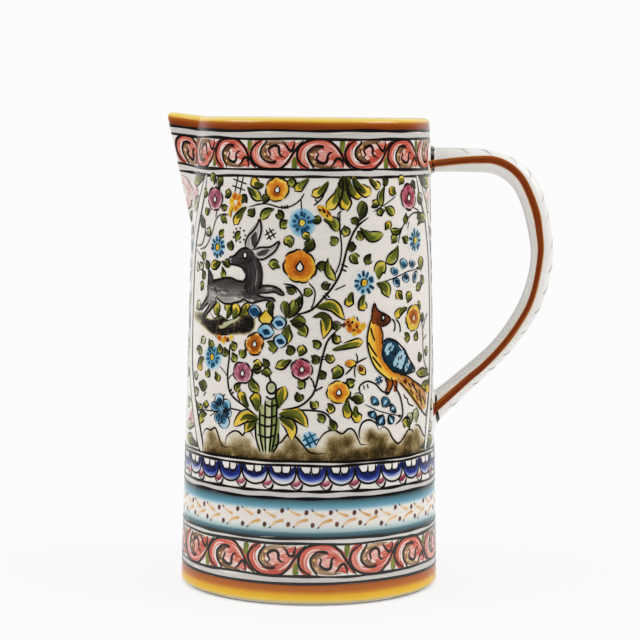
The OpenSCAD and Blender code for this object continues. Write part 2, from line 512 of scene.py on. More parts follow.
glazedWall()
strapHandle()
for node, material in (("base_slab", bareFoot()), ("floor_seam_coil", bpy.data.materials["plainGlaze"])):
    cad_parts[node].data.materials.clear()
    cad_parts[node].data.materials.append(material)

# Painting: each brush stroke is a thin strip of mesh just over the glaze
paints = {
    # colours from a full brush to a watery one, then fade along, slant and pool across, streak, bias
    "line": (["#070504", "#241d18"], 0.1, 0, 0, 0.4, 0.1),
    "greyLine": (["#45423e", "#8d8981"], 0.2, 0, 0, 0.6, 0.2),
    "tick": (["#77736d", "#b9b5ae"], 0.3, 0, 0, 0.6, 0.3),
    "tickPale": (["#bcb8b1", "#dedbd5"], 0.3, 0, 0, 0.6, 0.3),
    "ringGrey": (["#c2beb9", "#dedad5"], 0, 0, 0, 0.8, 0.5),
    "white": (["#ddd8cf", "#eeeae3"], 0.2, 0, 0.2, 0.4, 0.5),
    "coral": ([(0, "#a83a28"), (0.42, "#d0604b"), (0.8, "#e59f8e"), (1, "#f0c8bc")],
              0.1, -0.25, 0.25, 1, 0.42),
    "blush": ([(0, "#d9897a"), (0.6, "#e9bfb4"), (1, "#eee0d8")], 0.5, 0, 0, 1.3, 0.22),
    "scrollBrown": ([(0, "#452813"), (0.45, "#7b5434"), (0.75, "#a8835c"), (1, "#d8c09c")],
                    0.2, 0.3, 0.2, 1.4, 0.42),
    "barGreen": (["#4a5714", "#8b9436"], 0.2, 0.4, 0, 0.8, 0.4),
    "leafGold": ([(0, "#5f6a1c"), (0.45, "#8f9434"), (0.8, "#b5ae48"), (1, "#d2bb4a")],
                 0.7, 0.4, 0, 0.8, 0.12),
    "leafGreen": ([(0, "#282d09"), (0.55, "#4a5012"), (1, "#7d8228")], 0.6, 0.3, 0, 0.9, 0.15),
    "leafDeep": (["#1a1f08", "#454b14"], 0.5, 0.2, 0, 0.6, 0.15),
    "leafSun": ([(0, "#8f8a26"), (0.4, "#c7a92c"), (0.75, "#dfba34"), (1, "#eacb58")], 0.8, 0.3, 0, 0.6, 0.1),
    "leafPale": (["#a3a670", "#d5d6b4"], 0.6, 0.3, 0, 0.6, 0.2),
    "leafMist": (["#6f7548", "#a5aa7c"], 0.6, 0.3, 0, 0.6, 0.2),
    "orange": ([(0, "#ac5008"), (0.5, "#d07216"), (0.8, "#e29226"), (1, "#efc352")], 1, 0, 0, 0.6, -0.08),
    "rust": ([(0, "#7a3806"), (0.5, "#a5560e"), (0.82, "#bd6c16"), (1, "#ecc77c")], 1, 0, 0, 0.6, -0.04),
    "orangeDeep": (["#8c3c06", "#c26c14"], 0.4, 0, 0, 0.6, 0.2),
    "mauve": (["#87384c", "#ae6a7c", "#d6a4ae"], 0.6, 0, 0, 1, 0.15),
    "crimson": (["#6a1828", "#97384a", "#c97c86"], 0.6, 0, 0, 1, 0.15),
    "mauveDeep": (["#5e1f2e", "#8f4658"], 0.4, 0, 0, 0.6, 0.2),
    "sky": ([(0, "#4c90b6"), (0.5, "#7ab1cc"), (0.75, "#b4d1db"), (1, "#e7e1d9")], 1, 0, 0, 0.4, -0.06),
    "dashBlue": ([(0, "#06202f"), (0.6, "#174a68"), (1, "#3f7da2")], 0.5, 0, 0, 0.8, 0.2),
    "skyWash": ([(0, "#5aa2c4"), (0.5, "#8fc0d6"), (0.8, "#c3d8de"), (1, "#e7e1d9")], 1, 0, 0, 0.5, 0),
    "blueHeart": (["#02213a", "#16527c"], 0.4, 0.3, 0, 0.6, 0.1),
    "petalBlue": (["#04121f", "#153a55", "#4d86a8"], 0.6, 0.4, 0, 0.6, 0.1),
    "paleBlue": ([(0, "#5d9cbf"), (0.6, "#8fbdd3"), (1, "#c3d8e0")], 0.7, 0.3, 0, 0.8, 0.15),
    "cobalt": ([(0, "#0d1650"), (0.32, "#20338a"), (0.56, "#5c70b6"), (0.8, "#c3c8da"), (1, "#e2dfda")],
               0, -1.1, 0, 0.4, 0.46),
    "cobaltDeep": (["#10184e", "#26367f"], 0, 0, 0, 0.6, 0.4),
    "pinkDab": ([(0, "#7f2f41"), (0.35, "#a95a69"), (0.7, "#d3a2a5"), (1, "#e7dcd5")], 0, 1, -0.2, 0.6, 0.34),
    "yellow": (["#cc9820", "#e0b932", "#ecd070"], 0.5, 0.2, 0, 0.5, 0.2),
    "hindBody": ([(0, "#353130"), (0.4, "#5b5654"), (0.7, "#98928b"), (1, "#cbc6be")], 0, -1.1, 0, 1, 0.46),
    "hindDark": (["#252221", "#474342", "#7e7872"], 0.1, -0.4, 0.1, 0.8, 0.38),
    "hindLeg": (["#4f4b49", "#77726e", "#a8a39c"], 0.1, -0.3, 0.1, 0.9, 0.45),
    "hindLight": (["#77736f", "#a5a19b", "#cdc9c2"], 0.1, -0.3, 0, 0.9, 0.5),
    "birdHead": (["#3d1705", "#8f4418"], 0.3, 0.3, 0.1, 0.7, 0.3),
    "birdNeck": ([(0, "#a85a0c"), (0.35, "#cf7d1c"), (0.65, "#e39a30"), (0.85, "#e9bb3e"), (1, "#ecc94c")],
                 0, -1.2, 0, 0.5, 0.58),
    "wingDark": (["#0a2635", "#2a5670"], 0.2, 0.2, 0.1, 1, 0.25),
    "wingPale": (["#6fa3bd", "#9cc3d4", "#cfe0e4"], 0.1, 0.2, -0.2, 1.2, 0.4),
    "tailBrown": (["#9a5a18", "#cb8c3e", "#e6c584"], 0.3, -0.5, 0.2, 1.2, 0.36),
    "trunk": ([(0, "#5c6b26"), (0.6, "#93a056"), (1, "#c2c797")], 0.2, 0.5, 0.2, 1, 0.4),
    "dash": (["#cf8e44", "#e4b97f", "#ecdcc4"], -0.5, 0, 0, 0.8, 0.7),
    "dot": (["#43261b", "#80574a"], 0.3, 0, 0, 0.5, 0.3),
    "palePink": (["#c5848a", "#dcaeae", "#ecdcd6"], 0.8, 0, 0, 0.7, 0.1),
    "handleBrown": ([(0, "#641f03"), (0.5, "#883706"), (0.8, "#b4641e"), (1, "#dba364")],
                    0, 0.1, -0.62, 0.8, 0.28),
}
layers = {"under": 0.03, "wash": 0.05, "fill": 0.075, "shade": 0.1, "detail": 0.125, "top": 0.15}
brush = {
    "step": 1.4, "lipStep": 0.7,  # mm between the mesh rows of a stroke, on the wall and on the lip
    "lipNear": 24, "lipAbove": 160,  # mm round from the lip's ridge and mm up that count as the lip
    "outline": 0.42, "shadow": (0.28, -0.24), "shake": 0.12, "stem": 0.98, "loose": (0, 0.55), "bow": 0.22,
    "stack": 0.0003, "stackOf": 60,  # mm that a stroke lies over the last one, and how many do
    "ringColumns": 640, "edgeSteps": 7, "least": (12, 2), "weld": 0.0001,
}
shapes = {
    "flat": lambda u: 1,
    "even": lambda u: min(1, 9 * u, 9 - 9 * u) ** 0.5,
    "leaf": lambda u: max(0, sin(pi * u)) ** 0.75,
    "drop": lambda u: max(0, sin(pi * u ** 1.5)) ** 0.75,
    "taper": lambda u: min(1, 7 * u) ** 0.5 * (1 - u) ** 0.65,
    "club": lambda u: (0.22 + 0.78 * u ** 0.8) * min(1, 6 - 6 * u) ** 0.5,
    "swell": lambda u: (0.35 + 0.65 * sin(pi * u)) * min(1, 9 * u, 9 - 9 * u) ** 0.5,
}


def paintMaterial(name):
    wash, *amounts = paints[name]
    if isinstance(wash[0], str):
        wash = [(k / (len(wash) - 1), code) for k, code in enumerate(wash)]
    material, tree, shader = glazed(name + "Paint")
    thinned = put(tree, "ShaderNodeGroup", node_tree=washGroup)
    for key, value in zip(("Fade", "Slant", "Pool", "Streak", "Bias"), amounts):
        thinned.inputs[key].default_value = value
    tint = ramp(tree, thinned.outputs["Amount"], wash)
    tree.links.new(streaked(tree, tint), shader.inputs["Base Color"])
    return material


cloudWash = {
    "soil": [(0.06, ground), (0.18, "#d3c8ae"), (0.38, "#a08d64"), (0.6, "#6c5830"), (0.9, "#35280f")],
    "rock": [(0.06, ground), (0.2, "#cdc4a6"), (0.38, "#948963"), (0.58, "#4d4331"), (0.85, "#15110d")],
    "cloudy": 190, "gritty": 800,  # scale of the two noises that break the wash
    "cloudyShare": (1.3, -0.15), "grittyShare": 0.7,
    "sideFade": 16, "topFade": 5,  # how sharply a patch ends
}


def cloudMaterial(name):
    # A wash whose depth is painted into the mesh, broken by drying
    material, tree, shader = glazed(name + "Paint")
    place = objectPlace(tree)
    depth = painted(tree, "tone")
    cloudy = noise(tree, place, cloudWash["cloudy"], 3)
    gritty = noise(tree, place, cloudWash["gritty"], 2)
    broken = maths(tree, "MULTIPLY_ADD", cloudy, *cloudWash["cloudyShare"])
    dried = maths(tree, "MULTIPLY_ADD", gritty, cloudWash["grittyShare"], broken)
    tint = ramp(tree, maths(tree, "MULTIPLY", depth, dried), cloudWash[name])
    tree.links.new(streaked(tree, tint), shader.inputs["Base Color"])
    return material


paintPots = {name: paintMaterial(name) for name in paints}
paintPots["soil"] = cloudMaterial("soil")
paintPots["rock"] = cloudMaterial("rock")


def newSheet(name, lift=0, centre=0, flip=1, surface=None):
    # A sheet gathers the strokes of one motif; flip -1 paints them mirrored
    bm = bmesh.new()
    return {"name": name, "bm": bm, "uv": bm.loops.layers.uv.new("brush"),
            "tone": bm.verts.layers.float.new("tone"), "pots": [], "lift": lift,
            "centre": centre, "flip": flip, "surface": surface, "hand": Random(name), "strokes": 0}


def layGrid(sheet, paint, columns, rows, place, tones=None):
    if paint not in sheet["pots"]:
        sheet["pots"].append(paint)
    tone = sheet["hand"].random()
    sheet["strokes"] += 1
    made = bmesh.ops.create_grid(sheet["bm"], x_segments=columns, y_segments=rows, size=0.5)["verts"]
    for face in {face for vert in made for face in vert.link_faces}:
        face.material_index = sheet["pots"].index(paint)
        for loop in face.loops:
            loop[sheet["uv"]].uv = loop.vert.co.x + 0.5, loop.vert.co.y + 0.5
    for vert in made:
        u, v = vert.co.x + 0.5, vert.co.y + 0.5
        vert[sheet["tone"]] = tones(u, v) if tones else tone
        vert.co = place(u, v)


def onSheet(sheet, spot, lift):
    if sheet["surface"]:
        return sheet["surface"](spot, lift)
    return onWall(sheet["centre"] + sheet["flip"] * spot[0], spot[1], lift)


def stepAt(sheet, spot):
    away = (sheet["centre"] + sheet["flip"] * spot[0] - lipAround + wholeRound / 2) % wholeRound
    onLip = abs(away - wholeRound / 2) < brush["lipNear"] and spot[1] > brush["lipAbove"]
    return brush["lipStep" if onLip else "step"]


def liftOf(sheet, layer):
    return sheet["lift"] + layers[layer] + brush["stack"] * (sheet["strokes"] % brush["stackOf"])


def widthAt(widths, share):
    index = min(int(share * (len(widths) - 1)), len(widths) - 2)
    f = share * (len(widths) - 1) - index
    return widths[index] * (1 - f) + widths[index + 1] * f


def stroke(sheet, paint, layer, points, width, shape="even", grow=0):
    hand = sheet["hand"]
    shake = brush["shake"]
    shadow = Vector(brush["shadow"]) if grow else Vector((0, 0))
    path = []
    for point in points:
        shaken = Vector((hand.uniform(-shake, shake), hand.uniform(-shake, shake)))
        path.append(Vector(point) + shadow + shaken)
    widths = width if isinstance(width, list) else [width, width]
    length = sum((q - p).length for p, q in zip(path, path[1:]))
    lift = liftOf(sheet, layer)
    step = stepAt(sheet, path[0])

    def place(u, v):
        reach = u * (1 + 2 * grow / length) - grow / length
        share = min(1, max(0, reach))
        spot, heading = through(path, share)
        spot = spot + heading * (reach - share) * length
        half = widthAt(widths, share) / 2 * shapes[shape](u) + grow * min(1, 8 * u, 8 - 8 * u) ** 0.5
        return onSheet(sheet, spot + Vector((-heading.y, heading.x)) * half * (2 * v - 1), lift)

    columns, rows = brush["least"]
    columns, rows = max(columns, ceil(length / step) + 3), max(rows, ceil(max(widths) / step))
    layGrid(sheet, paint, columns, rows, place)


def penLine(sheet, points, width, shape="even"):
    stroke(sheet, "line", "detail", points, width, shape)


def outlined(sheet, paint, points, width):
    # A stroke with a dark edge, wider on its lower right
    hand = sheet["hand"].getstate()
    stroke(sheet, "line", "under", points, width, "leaf", brush["outline"])
    sheet["hand"].setstate(hand)
    stroke(sheet, paint, "fill", points, width, "leaf")


def edgeLine(sheet, points, width, shape, side, start, end, thick, hook=0):
    # A dark line along one edge of a stroke, a little loose from it; side 1 is the left one
    path = [Vector(p) for p in points]
    widths = width if isinstance(width, list) else [width, width]
    loose = sheet["hand"].uniform(*brush["loose"])
    line = []
    for k in range(brush["edgeSteps"] + 1):
        share = start + (end - start) * k / brush["edgeSteps"]
        spot, heading = through(path, share)
        aside = Vector((-heading.y, heading.x)) * side
        half = widthAt(widths, share) / 2 * shapes[shape](share) + loose * sin(pi * share)
        line.append(spot + aside * half)
    if hook:
        line.append(line[-1] + heading * hook * 0.5 - aside * hook)
    penLine(sheet, line, thick, "swell")


leafing = {
    "grow": 1.14, "slim": 0.68, "short": 4.8,  # growth, widest share of the length, and least length
    "body": 0.93, "aside": 0.11, "turned": 0.25,  # turned: share of leaves lit from the other side
    "reach": (0.7, 0.9), "dab": (0.56, 0.74), "clubDab": (0.26, 0.52, 0.64, 0.36),
    "edge": (0.85, 1.15), "hooks": (0, 0, 0.8, 1.2), "farFrom": (0.1, 0.5), "farEdge": (0.6, 0.9),
}


def leaf(sheet, points, width, kind="", shape="drop"):
    # A light body, a darker dab along one side, one full dark edge and a part of the other
    body, dab = foliage["kinds"][kind]
    hand = sheet["hand"]
    path = [Vector(p) for p in points]
    along = path[-1] - path[0]
    if along.length < leafing["short"]:
        middle = (path[0] + path[-1]) / 2
        path = [middle + (spot - middle) * leafing["short"] / along.length for spot in path]
        along = path[-1] - path[0]
    width = min(width * leafing["grow"], leafing["slim"] * along.length)
    side = 1 if along.y + along.x < 0 else -1  # the edge on the lower right is the full one
    if hand.random() < leafing["turned"]:
        side = -side
    if kind == "c":
        shape = "club"
    stroke(sheet, body, "fill", path, width * leafing["body"], shape)
    aside = Vector((-along.y, along.x)).normalized() * width * leafing["aside"] * side
    reach = hand.uniform(*leafing["reach"])
    dabPath = [through(path, reach * k / 3)[0] + aside * (k / 3) for k in range(4)]
    if kind == "c":
        stroke(sheet, dab, "shade", dabPath, [width * share for share in leafing["clubDab"]])
    else:
        stroke(sheet, dab, "shade", dabPath, width * hand.uniform(*leafing["dab"]), "leaf")
    hook = hand.choice(leafing["hooks"])
    edgeLine(sheet, path, width, shape, side, 0, 1, hand.uniform(*leafing["edge"]), hook)
    start = hand.uniform(*leafing["farFrom"])
    edgeLine(sheet, path, width, shape, -side, start, 1, hand.uniform(*leafing["farEdge"]))


def berry(sheet, paint, points, width, shape, heart):
    # A pointed petal with a bold edge, and a square heart if it has one
    stroke(sheet, paint, "fill", points, width, shape)
    if heart:
        (a, z), (endA, endZ) = points
        middle = ((a + endA) / 2 + 0.2, (z + endZ) / 2 - 0.3)
        disc(sheet, "blueHeart", "shade", middle, width * heart, 4, 0.3, turn=0.7)
    for side in (-1, 1):
        edgeLine(sheet, points, width, shape, side, 0, 1, 0.95)


def polar(middle, reach, angle):
    return middle[0] + reach * cos(angle), middle[1] + reach * sin(angle)


def petalReach(angle, lobes, depth, turn):
    lobe = abs(cos(lobes * angle / 2 + turn)) ** 0.6
    return 1 - depth + depth * lobe + 0.5 * depth * sin(2 * angle + 3 * turn)


petalArcs = {
    "count": 5, "spans": (0.8, 1.6), "steps": 11, "drawn": (0.02, 0.95),  # start and share of a span
    "loose": 0.25, "press": (0.75, 1.2),
}


def petalLines(sheet, centre, radius, lobes, depth, turn, thick):
    # Bold waving arcs round a flower, with small gaps where the brush is lifted
    hand = sheet["hand"]
    start = hand.uniform(0, 6)
    spans = [hand.uniform(*petalArcs["spans"]) for arc in range(petalArcs["count"])]
    scale = 2 * pi / sum(spans)
    steps, (first, share) = petalArcs["steps"], petalArcs["drawn"]
    for span in spans:
        angles = [start + span * scale * (first + share * k / steps) for k in range(steps + 1)]
        reach = [radius * petalReach(angle, lobes, depth, turn) + hand.uniform(0, petalArcs["loose"])
                 for angle in angles]
        arc = [polar(centre, r, t) for r, t in zip(reach, angles)]
        penLine(sheet, arc, thick * hand.uniform(*petalArcs["press"]), "swell")
        start += span * scale


def disc(sheet, paint, layer, centre, radius, lobes=0, depth=0, tall=1, turn=0, grow=0):
    shadow = Vector(brush["shadow"]) if grow else Vector((0, 0))
    middle = Vector(centre) + shadow
    lift = liftOf(sheet, layer)
    step = stepAt(sheet, middle)

    def place(u, v):
        angle = 2 * pi * v
        reach = u * (radius * petalReach(angle, lobes, depth, turn) + grow)
        return onSheet(sheet, middle + reach * Vector((cos(angle), tall * sin(angle))), lift)

    around = max(12, lobes * 6, ceil(2 * pi * radius / step))
    layGrid(sheet, paint, max(2, ceil(radius / step)), around, place)


def ringLine(sheet, paint, layer, height, width):
    hand = sheet["hand"]
    waves = [(hand.uniform(*bandLines["waveSize"]), hand.randint(*bandLines["waveCount"]), hand.uniform(0, 6))
             for wave in range(bandLines["waves"])]
    lift = liftOf(sheet, layer)

    def place(u, v):
        turn = 2 * pi * u
        wave = sum(size * sin(count * turn + phase) for size, count, phase in waves)
        thick = width * (1 + sum(size * sin(2 * count * turn - phase) for size, count, phase in waves[:3]))
        return onSheet(sheet, (wholeRound * (u - 0.5), height + wave + (v - 0.5) * thick), lift)

    layGrid(sheet, paint, brush["ringColumns"], 1, place)


def finishSheet(sheet):
    bm = sheet["bm"]
    bmesh.ops.remove_doubles(bm, verts=bm.verts, dist=brush["weld"] * mm)
    if sheet["flip"] < 0:
        bmesh.ops.reverse_faces(bm, faces=bm.faces)
    addPiece(sheet["name"], bm, [paintPots[name] for name in sheet["pots"]])
    print("painted", sheet["name"] + ":", sheet["strokes"], "strokes")


# Dark lines that part the bands
bandLines = {
    "heights": [214.3, 210.7, 197, 193.8, 65.9, 64.1, 52.4, 49.3, 30.9, 28.5, 13.7, 10.4], "width": 1.2,
    # height and width of the grey wash between two lines
    "rings": [(212.3, 3.2), (195.4, 3.2), (50.85, 3.1), (29.7, 2.4), (12.05, 3.3)],
    "waves": 4, "waveSize": (0.04, 0.2), "waveCount": (2, 11),
}

# One scroll, s along its band and t from 0 at the band's foot to "tall" at its top
scrolls = {
    "count": 16, "shake": 0.25, "tall": 14,
    "bands": [(197.3, 210.4, 3.6), (14, 28.2, 6)],  # foot, top and place of one upright scroll
    "onLip": {11: (-104, 0.8), 12: (-81.6, 0.68)},  # place and squeeze of the two on the lip
    "fill": (1.4, 5.8, 8.2, 0.66),
    "strokes": [  # paint, layer, points, width and any shape
        ("coral", "fill",
         [(-4.4, 0.2), (-8, 3.6), (-7.8, 8.8), (-3.8, 11.7), (1.8, 11.8), (6.8, 9.2), (10.8, 5.2),
          (14.2, 0.6)], [4.6, 4.8, 5, 4.8, 4.8, 5.6, 4.4, 2.2]),
        ("coral", "fill", [(9, 6.6), (5, 8.4), (0.6, 8)], [4.8, 4, 2], "taper"),
        ("coral", "fill", [(10.6, 4.2), (6.8, 5.2), (2.4, 5.2)], [4.2, 3.6, 2], "taper"),
        ("coral", "fill", [(11.8, 2), (8.4, 2.4), (4.6, 2)], [3.4, 3, 1.6], "taper"),
        ("blush", "shade", [(-7.6, 3.4), (-7.4, 7.6), (-4.8, 11.2), (-0.4, 12.2)], [0.5, 1, 0.9, 0.4]),
        ("blush", "shade", [(3.4, 12), (7, 9.8), (10, 6.4)], [0.4, 0.9, 0.4]),
        ("white", "shade", [(-4.2, 1.6), (-6.2, 5.2), (-4.8, 9.4), (-0.8, 10.9)], [0.4, 1.3, 1.4, 0.4]),
        ("scrollBrown", "shade", [(1.4, 10.2), (-2.9, 8.4), (-3.7, 5), (-1.6, 2.4), (3, 1.3), (8.8, 1)],
         [1.2, 2.6, 3, 2.6, 1.6, 1]),
        ("dash", "detail", [(-3.9, 7.4), (-2.5, 6.5)], 1.3, "leaf"),
        ("dash", "detail", [(-3, 3.9), (-1.5, 2.9)], 1.2, "leaf"),
        ("barGreen", "fill", [(11.4, 13.8), (11.2, 10.5), (11.3, 8)], [2.8, 2.4, 1.2]),
        ("line", "detail",
         [(-4.4, 0), (-8.6, 2.6), (-10.6, 6.4), (-9, 10.8), (-5.5, 13.4), (-1, 14.2), (4, 13.8), (7.5, 11.3),
          (10, 7.8), (13, 3), (16, -0.2)], 1.15),
        ("line", "detail",
         [(2.6, 10), (1, 10.9), (-2.2, 10.7), (-5.2, 7.8), (-4.8, 4.2), (-2.8, 1.7), (-2.2, 0.1)],
         [1.7, 1.4, 1, 1, 1, 1, 0.9]),
        ("line", "detail",
         [(-1.8, 9), (-0.3, 7), (-1.3, 5), (0.8, 3.1), (3, 3), (3.9, 4.8), (3.9, 6.6), (5, 8), (6.8, 8)],
         1.4, "swell"),
        ("line", "detail", [(5.2, 0.5), (7, 2.9), (8.5, 4.9), (10, 5), (11, 3.1), (11.2, 0.3)], 1.4, "swell"),
    ],
}


def paintBands():
    lines = newSheet("bandLines")
    for height, width in bandLines["rings"]:
        ringLine(lines, "ringGrey", "wash", height, width)
    for height in bandLines["heights"]:
        ringLine(lines, "line", "detail", height, bandLines["width"])
    finishSheet(lines)
    for name, (foot, top, start) in zip(("rimScrolls", "footScrolls"), scrolls["bands"]):
        sheet = newSheet(name)
        hand = sheet["hand"]
        tall = (top - foot) / scrolls["tall"]
        for index in range(scrolls["count"]):
            middle, squeeze = start + index * wholeRound / scrolls["count"], 1
            if name == "rimScrolls" and index in scrolls["onLip"]:
                middle, squeeze = scrolls["onLip"][index]
            upright = index % 2 == 0

            def settle(s, t):
                s += hand.uniform(-scrolls["shake"], scrolls["shake"])
                return middle + s * squeeze, (foot + t * tall if upright else top - t * tall)

            s, t, wide, squat = scrolls["fill"]
            disc(sheet, "blush", "wash", settle(s, t), wide * squeeze, tall=squat / squeeze)
            for paint, layer, points, width, *shape in scrolls["strokes"]:
                stroke(sheet, paint, layer, [settle(*p) for p in points], width, *shape)
        finishSheet(sheet)


# A row of blue cups with pink dabs between them, s from the middle of a cup
scallops = {
    "count": 28, "start": 1,
    "strokes": [  # paint, layer, points, width and any shape
        ("cobalt", "wash",
         [(-5.9, 62), (-4.7, 59.6), (-2.5, 58.2), (0.4, 57.7), (3.5, 58.3), (5.3, 59.8), (5.9, 62.2)],
         [2.6, 3.4, 3.8, 3.8, 3.8, 3.4, 2.6]),
        ("cobaltDeep", "fill", [(-5.8, 63.9), (-4.6, 61.2), (0.2, 59.4), (4.6, 61.2), (5.8, 63.9)],
         [1.6, 2.4, 2, 2.4, 1.6]),
        ("white", "shade", [(-2.4, 64.6), (-2.3, 62.9), (-1.9, 60.9)], [4.6, 4.4, 2.8]),
        ("white", "shade", [(2.1, 64.6), (2.1, 62.9), (1.9, 60.8)], [3.6, 3.6, 2.6]),
        ("line", "detail",
         [(-4.8, 63.9), (-4.3, 62.2), (-3.1, 60.5), (-1.5, 60), (-0.3, 61), (0, 62.6), (-0.2, 63.9)], 0.8),
        ("line", "detail", [(0, 61.4), (0.8, 60.1), (2.2, 59.7), (3.4, 61), (3.8, 62.6), (3.7, 63.9)], 0.8),
        ("white", "shade", [(6.6, 62.6), (6.6, 60), (6.6, 57.6)], [0.3, 0.9, 2.6]),
        ("pinkDab", "detail", [(4, 56.4), (6.2, 56), (8.6, 57.4)], [1.6, 3.2, 1.8]),
        ("line", "top",
         [(-6.3, 63.8), (-5.6, 59), (-3, 56.1), (0.8, 55.2), (4.6, 56.6), (6.2, 59.8), (6.4, 64)], 0.9),
        ("line", "detail", [(3.4, 56), (4.9, 54.2), (6.7, 52.9)], 0.6, "swell"),
        ("line", "detail", [(6.3, 52.9), (8.2, 53.5), (9.4, 56.3)], 1.2, "swell"),
    ],
}

# Dots and dashes on the pale stripe
dotRow = {
    "count": 34, "dot": (0.95, 3, 0.12, 1.3),  # radius, lobes, their depth, and height to width
    "rows": [  # start, height and sway, then the dash with its widths and the tick, from the dot
        (-1, 42.8, (-1, 0.8), [(2, 1.4), (4.6, -0.6), (8.2, -2)], [0.4, 0.9, 1.5], [(2.2, 1.4), (3, 0.5)]),
        (-9, 37, (-0.7, 0.7), [(2.4, -1.2), (5, 1.2), (9, 2.4)], [0.4, 1, 1.6], [(2.2, -1.6), (2.9, -0.6)]),
    ],
    "tickWidth": 0.7,
}


def paintStripe():
    cups = newSheet("scallopBand")
    for index in range(scallops["count"]):
        middle = scallops["start"] + index * wholeRound / scallops["count"]
        for paint, layer, points, width, *shape in scallops["strokes"]:
            stroke(cups, paint, layer, [(middle + s, z) for s, z in points], width, *shape)
    finishSheet(cups)
    row = newSheet("dotRow")
    hand = row["hand"]
    for index in range(dotRow["count"]):
        for start, height, sway, dash, widths, tick in dotRow["rows"]:
            a = start + index * wholeRound / dotRow["count"]
            z = height + hand.uniform(*sway)
            disc(row, "dot", "fill", (a, z), *dotRow["dot"])
            stroke(row, "dash", "fill", [(a + s, z + t) for s, t in dash], widths)
            stroke(row, "greyLine", "shade", [(a + s, z + t) for s, t in tick], dotRow["tickWidth"])
    finishSheet(row)


paintBands()
paintStripe()

